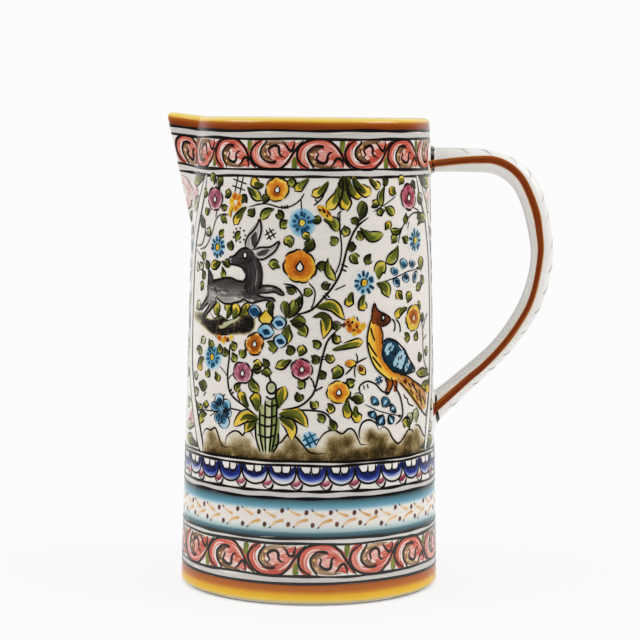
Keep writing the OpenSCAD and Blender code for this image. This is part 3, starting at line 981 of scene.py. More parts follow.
# The garden panel, in mm from its middle and from the foot
stemwork = {
    "stems": [  # points and width
        ([(-7, 132), (0, 134.2), (5, 139), (10.4, 145), (14, 152), (17.6, 163.6), (21.8, 171.5), (28, 176)],
         1.1),
        ([(30, 178), (35, 180.4), (40, 183), (44, 185.2)], 0.55),
        ([(-1, 147), (2, 143), (1.6, 138), (0.4, 135)], 0.7), ([(11, 143.4), (16.5, 145.6)], 0.6),
        ([(13.4, 179.6), (13.4, 171), (14.4, 163), (13.4, 156), (11, 149.4)], 0.75),
        ([(12.4, 189), (11.8, 184.5), (13.6, 180.4), (15.4, 179)], 0.8),
        ([(14.6, 178.8), (12.8, 177.8), (12.4, 176), (13.4, 174.4)], 0.6),
        ([(1, 181), (5, 184.6), (6.6, 189)], 0.8), ([(1.6, 184), (3.4, 182.4)], 0.6),
        ([(-31, 180), (-22, 181.8), (-14, 180.2), (-9, 181), (-5, 183.6), (-3, 187)], 0.7),
        ([(-4.6, 184), (-4.4, 179)], 0.6),
        ([(-66, 159), (-59, 161), (-54, 167), (-51, 173.4), (-47, 176), (-40, 176)], 0.85),
        ([(-51.2, 174.6), (-50.4, 178)], 0.6),
        ([(-70, 160.4), (-63, 162), (-60, 168), (-61.4, 173), (-66, 176)], 0.9),
        ([(-70, 159), (-63, 155.6), (-57, 151)], 0.6),
        ([(45, 163), (46.4, 168), (50, 173), (56, 176.6), (62, 177), (70, 176)], 0.7),
        ([(55, 180), (62, 178.2)], 0.55), ([(52, 170), (53, 173.4)], 0.5),
        ([(-13, 146), (-7.4, 145), (-4, 141), (-4, 136), (-7, 132)], 0.9),
        ([(-39.4, 118), (-39.8, 111), (-40.6, 104), (-39.6, 97.4), (-37, 93.6), (-30, 89.6), (-23.5, 85.2)],
         1),
        ([(-40.4, 101), (-38.6, 103), (-36.6, 104)], 0.5), ([(-40.8, 102.6), (-43, 105), (-45.8, 107)], 0.5),
        ([(-13, 89.2), (-5, 90.8), (0, 94.6), (2.2, 98.6), (4.2, 107), (5.8, 114), (8.4, 121), (13.6, 126.6)],
         1),
        ([(1.4, 97.4), (6, 100)], 0.8), ([(2, 99.4), (1.6, 102), (0, 104.4)], 0.8),
        ([(-6, 89.4), (2, 89.3), (7, 88), (10, 84.4), (11, 80.4)], 0.9),
        ([(-60, 85.4), (-50, 85.8), (-45, 87)], 0.55), ([(-43, 87), (-38, 88), (-31.5, 87.6)], 0.75),
        ([(-46, 86.6), (-52, 83)], 0.45), ([(25, 91.6), (33, 88), (41, 85.6), (46, 84.4)], 0.5),
        ([(44, 84.8), (46, 84.4)], 1.3), ([(16, 105), (19, 108), (22, 110.6), (27, 112.6)], 0.85),
        ([(21, 115), (22, 112.6), (21.2, 109.6), (20.4, 106.6), (21, 103.4)], 0.7),
        ([(63, 128), (65, 123), (65, 115), (66.4, 108), (69, 104.6), (72, 103)], 0.85),
        ([(72, 130), (68, 127), (65, 122.4)], 0.85), ([(65, 118), (70, 120)], 0.7),
        ([(36, 146.6), (40, 147.4), (47, 149.4), (52, 150.4), (60, 151.4)], 0.55),
        ([(59, 151.6), (62.4, 151.2)], 1.3),
        ([(23.6, 96), (23, 99.6), (26.6, 101.8), (31, 100.2), (34.6, 97), (38.4, 96.2), (40, 99)], 0.85),
        ([(25, 100.4), (25.4, 98.2)], 0.6), ([(26.8, 100.8), (27.2, 98.6)], 0.6),
        ([(40.6, 129.6), (42.2, 127.6), (42.4, 125.2), (41.6, 123.4)], 0.9),
        ([(42.8, 129.2), (45, 127.2), (45.8, 124.6), (45.4, 122.8)], 0.9), ([(5.6, 141.2), (7.8, 139)], 0.8),
        ([(6.6, 142.2), (8.8, 140)], 0.8), ([(14, 155), (17.4, 153.6)], 0.8),
        ([(13.6, 153), (16.8, 151.6)], 0.8), ([(-13.6, 181.2), (-13.2, 179.4)], 0.8),
        ([(-12.4, 181.2), (-12, 179.4)], 0.8), ([(-11.2, 181.4), (-10.8, 179.6)], 0.8),
        ([(-38.6, 94.4), (-36.6, 96)], 0.9), ([(-39.4, 95.4), (-37.6, 97)], 0.9),
        ([(3.4, 113.2), (7.2, 113.6)], 0.6), ([(3.2, 112), (7, 112.4)], 0.6),
        ([(20.2, 131.6), (21, 129.2)], 0.7), ([(21.4, 131.4), (22.6, 129)], 0.7),
        ([(-55.4, 94), (-57.6, 92)], 0.7), ([(-48.6, 94), (-50, 93)], 0.7), ([(-42, 94.4), (-43, 93)], 0.7),
        ([(48, 95), (48.6, 93), (50.4, 92), (51, 90), (53, 89), (55.6, 88)], 0.7),
    ],
    "greyFrom": 61,  # stems that start further from the middle are grey
    "marks": [  # small woven marks: middle, size, turn in degrees and paint
        (-36, 190, 4.4, -14, "line"), (-19, 168.2, 2.9, 32, "line"), (33, 102, 2.1, 20, "dashBlue"),
        (0.4, 76, 3.6, 28, "dashBlue"),
    ],
    "markApart": (-0.36, 0.32), "markWidth": {"line": 0.64, "dashBlue": 0.85},
    "markWash": ((0.2, 76), 3.9),  # blue wash under the last mark
}
foliage = {
    "leaves": [  # base, tip, width, and kind if it has one
        (-53, 189, -56, 194, 3), (-49, 187, -46.5, 192.5, 3.5, "d"), (-58, 185, -62.5, 186, 3),
        (-45, 184, -42, 187.5, 3.5), (-47.5, 180.5, -43.5, 180, 2.2), (-55.5, 178, -60, 175.5, 2.6),
        (-31.5, 182, -34.5, 184.5, 3.2, "d"), (-43, 172, -47, 174.5, 3), (-31.5, 180, -38.5, 172, 3.6, "c"),
        (-27.5, 179.5, -30, 176.5, 3, "d"), (-31.5, 189, -24, 183, 3.2), (-22.5, 190, -29, 192.5, 4, "c"),
        (-22.5, 182.5, -20.5, 185, 2.6, "d"), (-10, 194, -8.5, 189.5, 3.5), (-1, 193, -7, 187.5, 3.6, "c"),
        (-17, 179.5, -24, 174.5, 2.8), (-15.5, 179, -15, 175, 3, "d"), (-11, 174.5, -14, 171.5, 2.6),
        (-45, 169.5, -48, 166, 3), (-40, 164, -41, 160.8, 3, "d"), (-35, 168.5, -36, 165.4, 2.6),
        (-9, 162, -12, 167, 3.6), (-4, 160.5, 1, 166, 4, "d"), (-1, 165, -4, 168.5, 3, "y"),
        (-14, 153, -19.5, 154.5, 3.6), (-46, 154.5, -54, 152, 3.2, "y"), (-46, 155, -40, 154, 2.8, "d"),
        (-45.5, 152.5, -43.5, 147.5, 2.6), (-62.5, 157.5, -59.5, 156, 3), (-58.5, 154, -56.5, 151, 3.2, "d"),
        (-68, 153, -66, 149.5, 3, "p"), (-65, 153.5, -61, 152, 2.6, "p"),
        (-61.5, 150, -59.5, 146.5, 3.2, "d"), (-63, 140, -60, 143.5, 2.6), (-68.5, 131.5, -63, 135, 3.6, "p"),
        (-59.5, 167, -56, 169.5, 2.6, "p"), (-65, 176, -60.5, 169.5, 3.4, "d"),
        (-42, 128.6, -42.4, 136.8, 3.6), (-38, 128.6, -36.4, 136.4, 4.4, "y"),
        (-34.6, 130.2, -29.8, 136.8, 3.8, "y"), (-47, 128.6, -47.4, 136, 3.4),
        (-17, 131, -17.5, 138.5, 2.8, "d"), (-11, 130.2, -12.4, 138.4, 3.2, "d"),
        (-10.2, 130.4, -7.2, 139.2, 3.6), (-9.4, 129.4, -1.8, 129.6, 4.2, "d"), (-8.6, 128, -1.8, 122.6, 3.6),
        (-10, 118.8, -8, 114, 3.6, "d"), (0.4, 174.6, 3.8, 176.4, 3.6, "d"), (-9.5, 128, -10, 119, 3.6),
        (-11.5, 145, -6.5, 143, 2.4, "d"), (-3, 141, -0.5, 144, 3.2), (-5, 140, -5.5, 137, 2.4, "d"),
        (8, 192, 0.5, 185.5, 3.6, "c"), (14.2, 194, 7.4, 179.4, 5, "c"), (15.4, 194, 17.4, 179.2, 5.4, "c"),
        (17.4, 193.6, 24.6, 185.4, 4.6, "c"), (19.6, 194, 29, 186, 4.6, "c"),
        (15, 194.6, 15.2, 188.4, 5, "d"), (28, 193.5, 34, 189, 3.2, "c"), (35.5, 194, 38.5, 190.5, 3.6, "d"),
        (37, 190, 34.5, 180.5, 2.8), (44, 186, 40.5, 189.5, 4, "y"), (29, 180.5, 32.5, 183.5, 3),
        (36.5, 178.5, 33, 177, 3.6), (36.5, 180.5, 43, 177, 3.2), (23, 174, 24, 183.5, 4, "d"),
        (22, 172, 19.5, 175, 3.4, "d"), (23, 171.5, 36, 168, 3.6), (37, 170.5, 38.5, 173.5, 3.6, "y"),
        (48, 171, 40, 170, 2.4), (46, 190, 49, 194, 3.6, "y"), (59, 188.5, 56.5, 191.5, 4, "d"),
        (66, 180, 62, 186, 4), (60, 177, 62.5, 174, 3, "d"), (60.5, 171, 71, 174, 3.2),
        (51, 176.5, 51, 173.5, 2.6), (41, 164, 43.5, 166.8, 3.6), (47.5, 166, 51, 163.5, 3.2),
        (45, 163, 37, 155, 4.2), (33, 147.5, 37, 155, 5), (31.5, 146, 38.5, 139.5, 4.6),
        (5.5, 175, 12.5, 169.5, 3.6), (15.5, 172.4, 16, 167.5, 3.6), (9.5, 167, 11.5, 164.2, 3.6),
        (22, 169, 23, 166, 3.6), (19.5, 165, 19.5, 161, 3.2, "d"), (22.5, 155, 20, 160, 3.6),
        (29, 159.5, 26, 155, 3.6, "d"), (7, 155.5, 4.5, 152.5, 3.2, "d"), (8, 158, 11.5, 147.5, 2.8),
        (9, 146, 6, 144, 3.4, "d"), (19.5, 142.4, 18, 136, 4.2, "c"), (25.5, 141, 25, 134, 4, "c"),
        (48, 138, 44, 142, 4, "y"), (51, 136, 54, 141, 3.6), (51, 134, 42.5, 130, 3.6, "c"),
        (59, 133, 62.5, 135, 3), (63, 130, 66, 129, 3, "d"), (65, 144, 59, 141.5, 3), (64, 150, 64, 157, 4),
        (64, 148, 66.5, 146, 3), (-38, 118.5, -36, 116, 3.6), (-46, 117, -45, 113, 3),
        (-42.5, 115, -41.5, 112.8, 2.6, "d"), (-54, 119, -50, 116, 2.6), (-62, 116, -58, 119.5, 2.6, "p"),
        (-66.5, 112.5, -60, 111, 2.6), (-58, 109.5, -62, 103, 4.6, "c"), (-53.5, 105, -55, 101, 2.8),
        (-49, 104, -47, 99.5, 3), (-67.5, 102, -64.5, 101, 3, "p"), (-63, 97.5, -55, 96.4, 4.2, "d"),
        (-67, 95, -63.5, 91.5, 4, "p"), (-65, 89, -58, 86.5, 2.2), (-57, 88, -54.5, 88, 2.6),
        (-54, 84, -60.5, 79, 3.6), (-30.5, 116, -33.5, 112, 3.6), (-37.6, 113.4, -35.6, 110.6, 2.8),
        (-27, 107, -23.5, 111.5, 3.6, "y"), (-21.5, 111.5, -20, 108.4, 3.6, "d"), (-20, 120, -16.5, 115, 3),
        (-8, 112, -15.5, 108, 3.4), (-5, 113.5, -3, 118.5, 4), (-28, 106, -22.4, 106.2, 2.6, "d"),
        (-22.6, 105, -17.6, 105.6, 3.4), (-28, 104, -23, 97, 3.2), (-33, 99.4, -34.6, 96.8, 2.6),
        (-28.5, 89.5, -33, 96.5, 3.6, "c"), (-24, 88, -26, 96, 5, "c"), (-14, 89.5, -11, 100, 4, "y"),
        (-5.4, 97, -3.6, 94.2, 3.6, "d"), (-4.4, 103, -2.6, 100.4, 3), (1.4, 120.2, 3.6, 117.6, 3.8),
        (1, 113, 2.2, 111, 2.6, "d"), (9.5, 128.5, 12.5, 125.5, 3.2, "d"), (11.6, 123.6, 13.4, 120.6, 3.2),
        (8, 114.6, 10.8, 112.2, 3.8), (4.6, 107.2, 6.6, 104.4, 3.2, "d"), (10, 116.6, 24.8, 120.2, 3.4, "c"),
        (10, 103.5, 13, 109.5, 5), (20.4, 102.4, 17.4, 100.6, 3.2), (17, 94, 18, 85.5, 4, "c"),
        (21, 91, 23.5, 84, 4, "c"), (18, 94.5, 24.5, 92.5, 3.8, "d"), (0.8, 93, 3, 91, 3),
        (8, 92.2, 9, 88.2, 4, "y"), (4, 87.4, 6, 84.6, 3.2), (9, 85.5, 11.5, 80, 3.2, "d"),
        (49, 122, 50.4, 118.8, 3.6), (58.4, 122.6, 57, 118.8, 3.6), (63.4, 111.4, 59.6, 110.6, 3.6, "d"),
        (67, 113, 70.4, 112.2, 3), (73, 101, 58, 103, 3.2), (73, 99, 63, 97, 3.2), (52, 78, 47, 82.4, 3.6),
        (53, 80, 51.4, 85.6, 4.2, "p"), (57.6, 80, 57.8, 87, 4, "p"),
    ],
    "fronds": [  # points and width of the long bent leaves
        ([(0.8, 131.2), (5.6, 131.8), (7.4, 128), (6, 121.8)], 4),
        ([(-23, 84.4), (-30, 85.4), (-36.4, 80)], 4.2), ([(-24, 84), (-27.6, 81.6), (-30, 78)], 3.2),
        ([(-14, 87), (-6, 87.8), (-0.6, 81.6)], 4.4), ([(-14, 86), (-8.4, 82), (-7.6, 75.4)], 4),
        ([(2.4, 135.6), (10, 136.6), (15.8, 130)], 3.6),
    ],
    "kinds": {  # body and dab of each kind
        "": ("leafGold", "leafGreen"), "d": ("leafGreen", "leafDeep"), "y": ("leafSun", "leafGreen"),
        "p": ("leafPale", "leafMist"), "c": ("leafSun", "leafGreen"),
    },
}
blossoms = {
    "flowers": [  # kind, middle and radius
        ("orange", -16, 188.2, 5.4), ("orange", -5, 154, 7.4), ("rust", -26, 118.5, 4.9),
        ("orange", 13, 97.4, 5.2), ("oval", 56, 129, 6), ("mauve", -52, 183, 5.4),
        ("crimson", 53, 184.4, 5.8), ("mauve", -32, 105, 4.9), ("crimson", -3.6, 107.8, 4.7),
        ("daisy", -49, 161, 5.2), ("daisy", -4, 173.4, 5), ("daisy", 25.4, 146.4, 5.4),
        ("daisy", 58.4, 164.4, 5.4), ("daisy", -51, 110.6, 5),
    ],
    "berries": [  # paint, both ends, width, shape and the share of the heart
        ("paleBlue", [(-26.2, 136.2), (-26.6, 130)], 6, "leaf", 0.42),
        ("yellow", [(-20.6, 134.2), (-20.2, 127.4)], 6.6, "drop", 0),
        ("paleBlue", [(-14.4, 131.8), (-14.2, 125.2)], 6.4, "leaf", 0.28),
        ("paleBlue", [(-24.6, 124.8), (-16.2, 124)], 6.2, "leaf", 0.28),
        ("paleBlue", [(-13.2, 123.6), (-14, 117)], 6, "leaf", 0.28),
    ],
    "dabs": [  # paint, middle and radius of the small blossoms' dabs
        ("yellow", -40, 182, 2), ("orange", -38.4, 184.4, 1.9), ("orange", -36, 184, 1.8),
        ("orange", -35.8, 181.2, 1.9), ("orange", -37.6, 179.2, 1.7), ("yellow", -40, 179, 1.6),
        ("white", -37.8, 182, 0.9), ("orange", 17.6, 128.6, 2), ("birdHead", 15.4, 127.6, 1.1),
        ("orange", 18.4, 126, 1.9), ("orange", 21.4, 127.6, 2), ("orange", 22.4, 124.8, 1.7),
        ("yellow", 24.6, 126.8, 1.7), ("yellow", 19.8, 130, 1.4), ("birdHead", 18, 127.4, 1),
        ("birdHead", 21.6, 126.6, 0.9), ("line", 19.4, 128.8, 0.7), ("birdHead", 20.2, 125, 0.9),
        ("line", 17.2, 129, 0.6), ("yellow", 20.4, 123.6, 1.2), ("orange", -46.2, 119.8, 1.6),
        ("yellow", -43.6, 118.6, 1.4), ("birdHead", -41, 119.4, 1.3), ("yellow", -38.8, 120.6, 1.4),
        ("orange", -42.6, 120, 1.2), ("yellow", 70, 94.4, 2.2),
    ],
    "smears": [  # paint, points and width of loose brush marks
        ("yellow", [(2.6, 181), (6, 178.6), (10, 174.4)], 4.2),
        ("orange", [(4.6, 180.6), (7.8, 178.2), (10, 175.6)], 1.6),
        ("line", [(3.4, 179.6), (4.8, 178.6)], 1.1), ("line", [(5.2, 179.6), (6.6, 177.6)], 1.2),
        ("birdHead", [(7.6, 178.8), (9, 176.6)], 1.3), ("line", [(7, 177.4), (7.8, 175.8)], 0.9),
        ("yellow", [(-40, 180), (-41.2, 177.6), (-41, 174.8)], 1.7),
        ("rust", [(-39.2, 179.6), (-40.4, 176.8), (-40.6, 174.6)], 0.8),
    ],
    "petalGrow": 1.24,
    "petals": [  # base, tip and width of blue petals
        (-43.8, 87, -46.6, 94.4, 4.6), (-43.8, 87, -38.8, 91.6, 4), (-43.8, 87, -37.4, 85.2, 3),
        (-43.8, 87, -41, 78.4, 4.8), (-43.8, 87, -46.8, 80.4, 4), (-43.8, 87, -51.6, 88.6, 3),
        (41.6, 149, 43, 152.6, 3.4), (45.4, 147.8, 42.6, 144.4, 3.8), (47.6, 151.6, 49.6, 156.4, 4),
        (50.8, 150, 49.6, 145.6, 3.8), (54.8, 151.6, 55.4, 155.6, 3.6), (55.4, 148.8, 59.4, 147, 4),
    ],
    "deepPetals": [  # darker ones below the bird
        (29, 91, 31.8, 94, 3.6), (34.6, 89.4, 38, 93.8, 4), (39, 87.4, 42, 89.4, 3.6),
        (30.6, 88.4, 28.4, 85, 3.4), (35.4, 86.4, 32.4, 81.4, 4), (38, 86, 40.6, 81.4, 3.2),
    ],
    "buds": [(16, 110.6, 21, 110.2, 3, "orange"), (22.4, 109.2, 25.2, 105.2, 3, "birdHead")],
    "seeds": {"count": 9, "turn": 0.7, "middle": (-35.4, 167.2), "ring": (3.5, 3.2), "radius": 0.5},
    "kinds": {  # body, edge and shade of each kind, and the lobes' number and depth
        "orange": ("orange", "yellow", "orangeDeep", 7, 0.08),
        "rust": ("rust", "orange", "orangeDeep", 3, 0.16),
        "mauve": ("mauve", "palePink", "mauveDeep", 6, 0.08),
        "crimson": ("crimson", "palePink", "mauveDeep", 6, 0.07),
    },
    "daisy": {"petals": 11, "sway": 0.14, "near": (0.44, 0.58), "far": (0.9, 1.08), "thick": (1, 1.6),
              "eye": 0.37, "heart": 0.24, "wash": 1.3},
}


def daisyWash(sheet, a, z, radius):
    wide = radius * blossoms["daisy"]["wash"]
    disc(sheet, "sky", "wash", (a, z), wide, 7, 0.06, turn=sheet["hand"].uniform(0, 3))


bloom = {
    "rimFrom": (0.75, 1.1),  # half turns at which the rim's strokes start
    "rims": [(0, 0.8, 0.86, 0.2), (0.7, 0.45, 0.88, 0.14)],  # later start, span, reach and width
    "underAt": 0.46, "underTurns": (3.7, 4.3, 4.9, 5.6), "underWidth": 0.26,  # arc below the heart
    "heart": 0.4,
}


def flower(sheet, kind, a, z, radius):
    hand = sheet["hand"]
    if kind == "oval":
        disc(sheet, "yellow", "fill", (a, z), radius, 6, 0.08)
        disc(sheet, "rust", "shade", (a, z + 0.4), radius * 0.72)
        petalLines(sheet, (a, z), radius, 6, 0.08, 0, 0.85)
        stroke(sheet, "white", "top", [(a, z + 1.4), (a, z - 1.4)], 1.3, "drop")
    elif kind == "daisy":
        daisy = blossoms["daisy"]
        for petal in range(daisy["petals"]):
            angle = petal * 2 * pi / daisy["petals"] + hand.uniform(-daisy["sway"], daisy["sway"])
            near, far = radius * hand.uniform(*daisy["near"]), radius * hand.uniform(*daisy["far"])
            ends = [polar((a, z), reach, angle) for reach in (near, far)]
            stroke(sheet, "dashBlue", "shade", ends, hand.uniform(*daisy["thick"]))
        disc(sheet, "line", "detail", (a - 0.2, z + 0.1), radius * daisy["eye"], 3, 0.1)
        disc(sheet, "yellow", "top", (a, z), radius * daisy["heart"], 3, 0.1, 1.2)
    else:
        body, rim, shade, lobes, depth = blossoms["kinds"][kind]
        turn = hand.uniform(0, 3)
        disc(sheet, body, "fill", (a, z), radius, lobes, depth, turn=turn)
        start = hand.uniform(*bloom["rimFrom"])
        for later, span, far, wide in bloom["rims"]:
            arc = [polar((a, z), radius * far, pi * (start + later + span * k / 5)) for k in range(6)]
            stroke(sheet, rim, "shade", arc, radius * wide, "leaf")
        under = [polar((a, z), radius * bloom["underAt"], angle) for angle in bloom["underTurns"]]
        stroke(sheet, shade, "shade", under, radius * bloom["underWidth"], "leaf")
        petalLines(sheet, (a, z), radius, lobes, depth, turn, 1)
        tip = radius * bloom["heart"]
        penLine(sheet, [(a + 0.3, z + tip), (a, z - tip * 0.9)], radius * 0.58, "drop")
        stroke(sheet, "white", "top", [(a + 0.2, z + tip * 0.55), (a, z - tip * 0.62)], radius * 0.32, "drop")


# The running hind: washes with their widths, then the lines round it
hind = {
    "washes": [
        ("hindLeg", "under", [(-54.4, 139), (-57, 136.2), (-60, 133.9), (-62.2, 132.4)], [5, 3, 2, 1]),
        ("hindLeg", "under", [(-51.6, 138.6), (-52, 135.4), (-55.4, 132), (-58.8, 129.2)],
         [5.4, 4.2, 2.2, 1.2]),
        ("hindDark", "under", [(-54, 143), (-54.2, 146.4), (-55.2, 149.4)], [3.4, 3, 0.8]),
        ("hindDark", "under", [(-26, 142.6), (-21.6, 143.3), (-17.4, 143.4), (-12.8, 141.6)],
         [3.4, 2.9, 2.4, 1]),
        ("hindDark", "under", [(-28, 139), (-22, 139), (-17.6, 138.7), (-16.2, 137.9)], [4.4, 1.8, 1.4, 0.8]),
        ("hindBody", "wash",
         [(-55.4, 141.6), (-51, 141.4), (-45, 141.5), (-38, 141.7), (-31, 141.6), (-25.8, 141.8)],
         [7.2, 9.8, 10.6, 11, 9.6, 5]),
        ("hindLight", "wash", [(-28.6, 160.6), (-28.4, 164.6), (-26.4, 169), (-24.6, 174.2)],
         [3.4, 6.6, 5.6, 0.6]),
        ("hindLight", "wash", [(-26.4, 158.8), (-22, 159.6), (-18.4, 161), (-14.8, 164.4)],
         [3.4, 5, 3.6, 0.5]),
        ("hindDark", "fill", [(-28.2, 139.8), (-27, 145), (-27, 150), (-28.2, 155), (-29, 158.4)],
         [9.4, 9.2, 8.4, 7.2, 6]),
        ("hindDark", "wash", [(-35, 154.8), (-32.2, 152.8), (-29.6, 149.6)], [1.6, 3, 3.4]),
        ("hindDark", "fill", [(-26.6, 158.6), (-30, 158), (-34, 156.9), (-37.2, 155.7), (-40.2, 155.2)],
         [4.6, 7.2, 6.4, 4.2, 2.6]),
    ],
    "shades": [
        ("hindDark", [(-27, 162), (-26.9, 166), (-26, 169)], [1.6, 3.4, 0.8]),
        ("hindDark", [(-25.4, 158.6), (-22, 159.8), (-19, 161.2)], [1.6, 2.6, 0.6]),
        ("hindLight", [(-21, 143.6), (-17.4, 143.8)], [1, 0.8]),
        ("hindLight", [(-53.4, 138.6), (-54.6, 135.8)], [1.4, 0.8]),
        ("hindLight", [(-48, 138.6), (-43, 137.4), (-37, 137.8)], [1.2, 2.6, 1.4]),
        ("hindLight", [(-46, 141), (-42, 140.2)], [1.4, 0.8]),
        ("hindLeg", [(-35.6, 139.4), (-33, 139)], [1.8, 1]),
        ("hindLeg", [(-40.6, 142.4), (-37, 141), (-34.4, 142)], [1.4, 2.4, 1]),
        ("hindLeg", [(-25.2, 152), (-25.2, 148), (-26.2, 144)], [0.5, 1.2, 0.5]),
        ("hindDark", [(-33.4, 141), (-30, 139.8), (-27, 139.4)], [1.8, 2.8, 1.8]),
        ("hindDark", [(-50.6, 142.6), (-48.4, 140)], [2.2, 1.4]),
    ],
    "lines": [
        [(-30.9, 150.5), (-31.4, 147.6), (-34, 146.2), (-40, 147.6), (-45, 146.9), (-49.4, 146.2),
         (-52, 144.8)],
        [(-52.2, 145.4), (-52.8, 147.8), (-55.4, 150.2), (-55.8, 146), (-56, 141.8), (-55.4, 138.6)],
        [(-55.4, 138.6), (-58, 135.8), (-62.6, 132.6), (-61.6, 131.6), (-58, 133.8), (-54.6, 135.4)],
        [(-50, 138.4), (-49.2, 135.6), (-51.8, 133.4), (-55, 130.8), (-58.6, 128.4), (-59.6, 129.6),
         (-56, 132.4), (-53.6, 135)],
        [(-49.4, 138.8), (-47.4, 137.2), (-43.8, 135.8), (-40, 135.7), (-37, 136.4), (-34, 137), (-32, 138.4),
         (-30, 137.3), (-27.4, 136.8), (-25, 137.6), (-21.2, 138.4), (-17.4, 138)],
        [(-25.8, 140.8), (-21.3, 139.7), (-17.4, 139.3), (-15.9, 137.6)],
        [(-24.4, 143), (-22.4, 144.9), (-17.4, 144.9), (-14.4, 143.6), (-12, 141.3), (-13.8, 141),
         (-16.4, 142.3), (-20, 141.7), (-25.4, 141.2)],
        [(-25.6, 157), (-23.8, 154.6), (-22.8, 151.4), (-23, 146.8), (-24.6, 142.6)],
        [(-41, 156), (-41.2, 154.6), (-39.8, 153.8), (-37, 153.6), (-33.8, 152.9), (-31.4, 151.2),
         (-30.9, 149.8)],
        [(-41, 155.6), (-40.4, 157), (-38, 157.6), (-34.6, 160.6), (-31.6, 161.6), (-29, 160.8)],
        [(-31.6, 161.6), (-31.7, 164), (-30.4, 167), (-28, 169.2), (-25.6, 171.9), (-24.5, 174.8),
         (-23.4, 170.4), (-24.3, 166), (-26, 162.8), (-28, 160.4)],
        [(-27.4, 160.6), (-23.8, 161.9), (-18.8, 162.4), (-14.4, 164.9), (-16.2, 161), (-19.4, 158.2),
         (-22.6, 156.7), (-25.8, 157)],
    ],
    "lineWidth": 0.95,
    "eye": (-31.8, 158.2, 1.5, 0.7),
}

